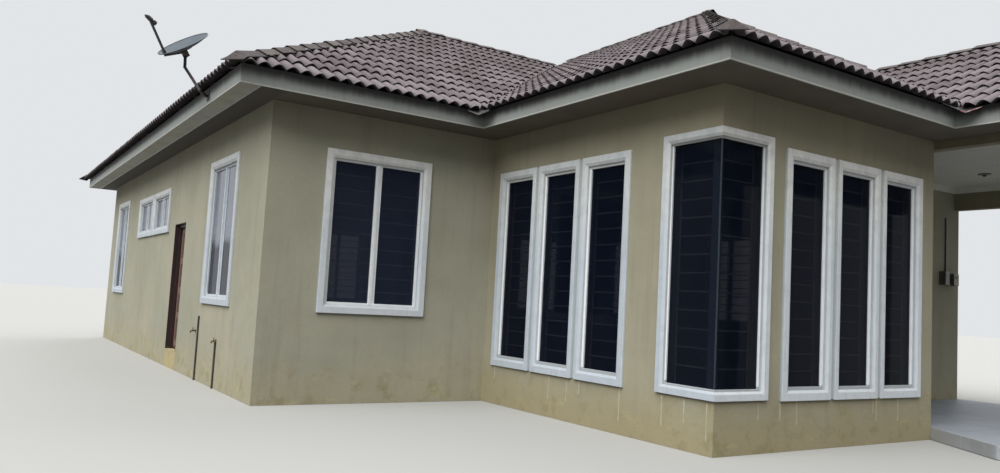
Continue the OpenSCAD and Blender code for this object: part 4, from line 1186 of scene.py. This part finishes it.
def drips():
    """Paint that ran down the plaster from the window surrounds and dried."""
    chance = Random(7)
    shape = Shape()
    places = [(on_wall(bay_x, 0, "left"), y) for y in SIDE_RUNS]
    places += [(on_wall(0, bay_y, "front"), x) for x in FRONT_RUNS]
    for (origin, right, out), along in places:
        width = chance.uniform(0.009, 0.017)
        length = chance.uniform(0.14, 0.42)
        sway = chance.uniform(-0.004, 0.004)
        rows = []
        for share, size in ((0, 1.0), (0.3, 0.7), (0.65, 0.55), (0.93, 0.75), (1.0, 0.15)):
            centre = origin + right * (along + sway * share) + UP * (RUN_TOP - length * share)
            edge, face = right * width * size, out * RUN_T
            rows.append([centre - edge, centre - edge * 0.5 + face,
                centre + edge * 0.5 + face, centre + edge])
        shape.rings(rows)
    show(shape, "dried_drips", "dried_drips")


# The porch: where its floor flares out, and its tiles

FLARE_X, FLARE_Y = 0.700, 1.090
PAVER, GROUT, PAVER_T, PAVER_UP = 0.600, 0.0025, 0.006, 0.003
# A point on the porch floor, to tell which way its edge faces
PORCH_MIDDLE = at(9.0, -5.0)


def porch_tiles():
    """Large polished tiles on the porch floor, and along the riser of its step."""
    flare_x, flare_y = bay_right_x - FLARE_X, bay_y - FLARE_Y
    floor_z = PORCH_Z + PAVER_UP
    cuts = []
    for zone in ([(flare_x, porch_front_y), (right_x, porch_front_y), (right_x, flare_y), (flare_x, flare_y)],
            [(flare_x, flare_y), (right_x, flare_y), (right_x, bay_y), (bay_right_x, bay_y)],
            [(bay_right_x, bay_y), (right_x, bay_y), (right_x, porch_rear_y), (bay_right_x, porch_rear_y)]):
        columns, rows = (range(floor((min(p[i] for p in zone) - first) / PAVER),
                ceil((max(p[i] for p in zone) - first) / PAVER))
                for i, first in enumerate((right_x, porch_rear_y)))
        shape = Shape()
        for i in columns:
            for j in rows:
                x, y = right_x + i * PAVER, porch_rear_y + j * PAVER
                shape.box((x + GROUT, y + GROUT, floor_z - PAVER_T),
                    (x + PAVER - GROUT, y + PAVER - GROUT, floor_z))
        cuts.append((shape, [(p, "edge") for p in zone]))
    show_cut("porch_tiles", "polished_floor_tile", cuts)

    riser = Shape()
    edge = [(bay_right_x, bay_y), (flare_x, flare_y), (flare_x, porch_front_y), (right_x, porch_front_y),
            (right_x, porch_rear_y)]
    for a, b in zip(edge, edge[1:]):
        start, run = at(*a), at(b[0] - a[0], b[1] - a[1])
        length, ahead = run.length, run.normalized()
        out = at(ahead.y, -ahead.x)
        out = -out if out.dot(PORCH_MIDDLE - start) > 0 else out
        count = max(1, round(length / PAVER))
        for k in range(count):
            riser.bar((start, ahead, out), (length * k / count + GROUT, length * (k + 1) / count - GROUT),
                    (0.004, floor_z + 0.001), (0.002, -0.005))
    show(riser, "porch_riser", "riser_tile", soft=0.002, segments=1)


LAMP_PLACE = (10.147, -3.379, 3.800)
LAMP_BASE = [(0.098, 0), (0.098, 0.008), (0.086, 0.014), (0.030, 0.018), (0.027, 0.020), (0.027, 0.036),
        (0.021, 0.042)]


def ceiling_rose():
    """The round base and empty lamp holder in the middle of the porch ceiling."""
    shape = Shape()
    lathe(shape, moved(*LAMP_PLACE) @ turned(pi, "X"), LAMP_BASE)
    show(shape, "ceiling_rose", "lamp_base_bronze")


# Doors: the side door leaf's room in its opening and its stiles, and the heights of panels and rails

LEAF_GAP, STILE, HANDLE_Z, HANDLE_R = 0.053, 0.095, 1.265, 0.008
SIDE_PANELS = ((0.50, 0.80), (0.93, 1.22), (1.36, 1.72), (1.86, 2.24))
SIDE_RAILS = ((0.400, 0.045), (0.865, 0.050), (1.29, 0.050), (1.79, 0.050), (2.290, 0.030))
LINING_T, OPENING_H = 0.010, 2.120
ENTRANCE_IN, ENTRANCE_W, ENTRANCE_BAR = 0.800, 1.800, 0.045
ENTRANCE_PANELS = ((0.46, 1.05), (1.17, 1.60), (1.72, 2.20))
PANEL_EDGE = [(0.0, 0.0), (0.004, 0.007), (0.018, 0.007), (0.026, 0.001), (0.026, -0.002), (0.0, -0.002)]
PANEL_FIELD = [(0.055, -0.002), (0.055, 0.0), (0.055 + 0.02, 0.005)]


def raised_panel(shape, wall, x0, x1, z0, z1, depth):
    """A panel's moulded border and its raised field, on the side of a door that looks out."""
    corners = stations(wall, x0, x1, z0, z1)
    moulding(shape, corners, [(a, -depth + b) for a, b in PANEL_EDGE])
    shape.rings([[p + way_in * a + way_out * (-depth + b) for p, way_in, way_out in corners]
            for a, b in PANEL_FIELD])


def side_door_panels():
    """Raised panels between the rails of the side door's leaf, and its handle."""
    face = left_x + WALL - 0.040
    y0, y1 = front_y + DOOR_Y + LEAF_GAP, front_y + DOOR_Y + DOOR_W - LEAF_GAP
    mid = (y0 + y1) / 2
    panels, rails, metal = Shape(), Shape(), Shape()
    for ya, yb in ((y0 + STILE, mid - 0.035), (mid + 0.035, y1 - STILE)):
        for za, zb in SIDE_PANELS:
            raised_panel(panels, on_wall(left_x, 0, "left"), -yb, -ya, za, zb, face - left_x)
    for z, half in SIDE_RAILS:
        rails.box((face - 0.004, y0 + STILE, z - half), (face + 0.001, y1 - STILE, z + half))
    for ya, yb in ((y0 + 0.060, y0 + STILE - 0.010), (mid - 0.022, mid + 0.022),
            (y1 - STILE + 0.010, y1 - 0.022)):
        rails.box((face - 0.003, ya, 0.345), (face + 0.001, yb, 2.330))
    y, z = y0 + 0.045, HANDLE_Z
    metal.box((face - 0.005, y - 0.020, z - 0.090), (face, y + 0.020, z + 0.090))
    tube(metal, [(face - 0.004, y, z), (face - 0.048, y, z), (face - 0.050, y + 0.012, z),
            (face - 0.050, y + 0.105, z)], HANDLE_R)
    show(panels, "side_door_panels", "dark_stained_timber", "side_door_leaf")
    show(rails, "side_door_rails", "worn_timber", "side_door_leaf", soft=0.001, segments=1)
    show(metal, "side_door_handle", "dark_steel", "side_door_leaf")


def side_door_lining():
    """Thin timber lining of the opening, out to the wall's face."""
    shape = Shape()
    y0, y1 = front_y + DOOR_Y, front_y + DOOR_Y + DOOR_W
    x0, x1 = left_x - 0.004, left_x + WALL - 0.045
    top = FLOOR_Z + OPENING_H
    for low, high in ((y0, y0 + LINING_T), (y1 - LINING_T, y1)):
        shape.box((x0, low, FLOOR_Z), (x1, high, top))
    shape.box((x0, y0 + LINING_T, top - LINING_T), (x1, y1 - LINING_T, top))
    show(shape, "side_door_lining", "lining_timber_painted_shade", soft=0.002, segments=1)


def entrance_panels():
    """Raised panels and pull handles on the two leaves of the entrance door."""
    shape, metal = Shape(), Shape()
    x0 = bay_right_x + ENTRANCE_IN + ENTRANCE_BAR
    leaf = (ENTRANCE_W - 2 * ENTRANCE_BAR) / 2
    y = porch_rear_y + REVEAL
    for k in range(2):
        a = x0 + k * leaf
        for za, zb in ENTRANCE_PANELS:
            raised_panel(shape, on_wall(0, porch_rear_y, "front"), a + 0.12, a + leaf - 0.12, za, zb, REVEAL)
        x = x0 + leaf + (0.055 if k else -0.055)
        metal.box((x - 0.020, y - 0.005, 1.190), (x + 0.020, y, 1.370))
        bends = ((0.004, 1.310), (0.046, 1.310), (0.046, 1.230), (0.004, 1.230))
        tube(metal, [(x, y - out, z) for out, z in bends], HANDLE_R)
    show(shape, "entrance_panels", "dark_stained_timber")
    show(metal, "entrance_handles", "dark_steel")


make_camera()
make_looks()
make_stage()
dress_nodes()
tiled_roof()
underlay()
capped_roof()
valleys()
windows()
corner_joint()
dish()
taps()
meters()
drips()
porch_tiles()
ceiling_rose()
side_door_panels()
side_door_lining()
entrance_panels()
soffit_boards()

bpy.context.scene.view_settings.view_transform = "Standard"
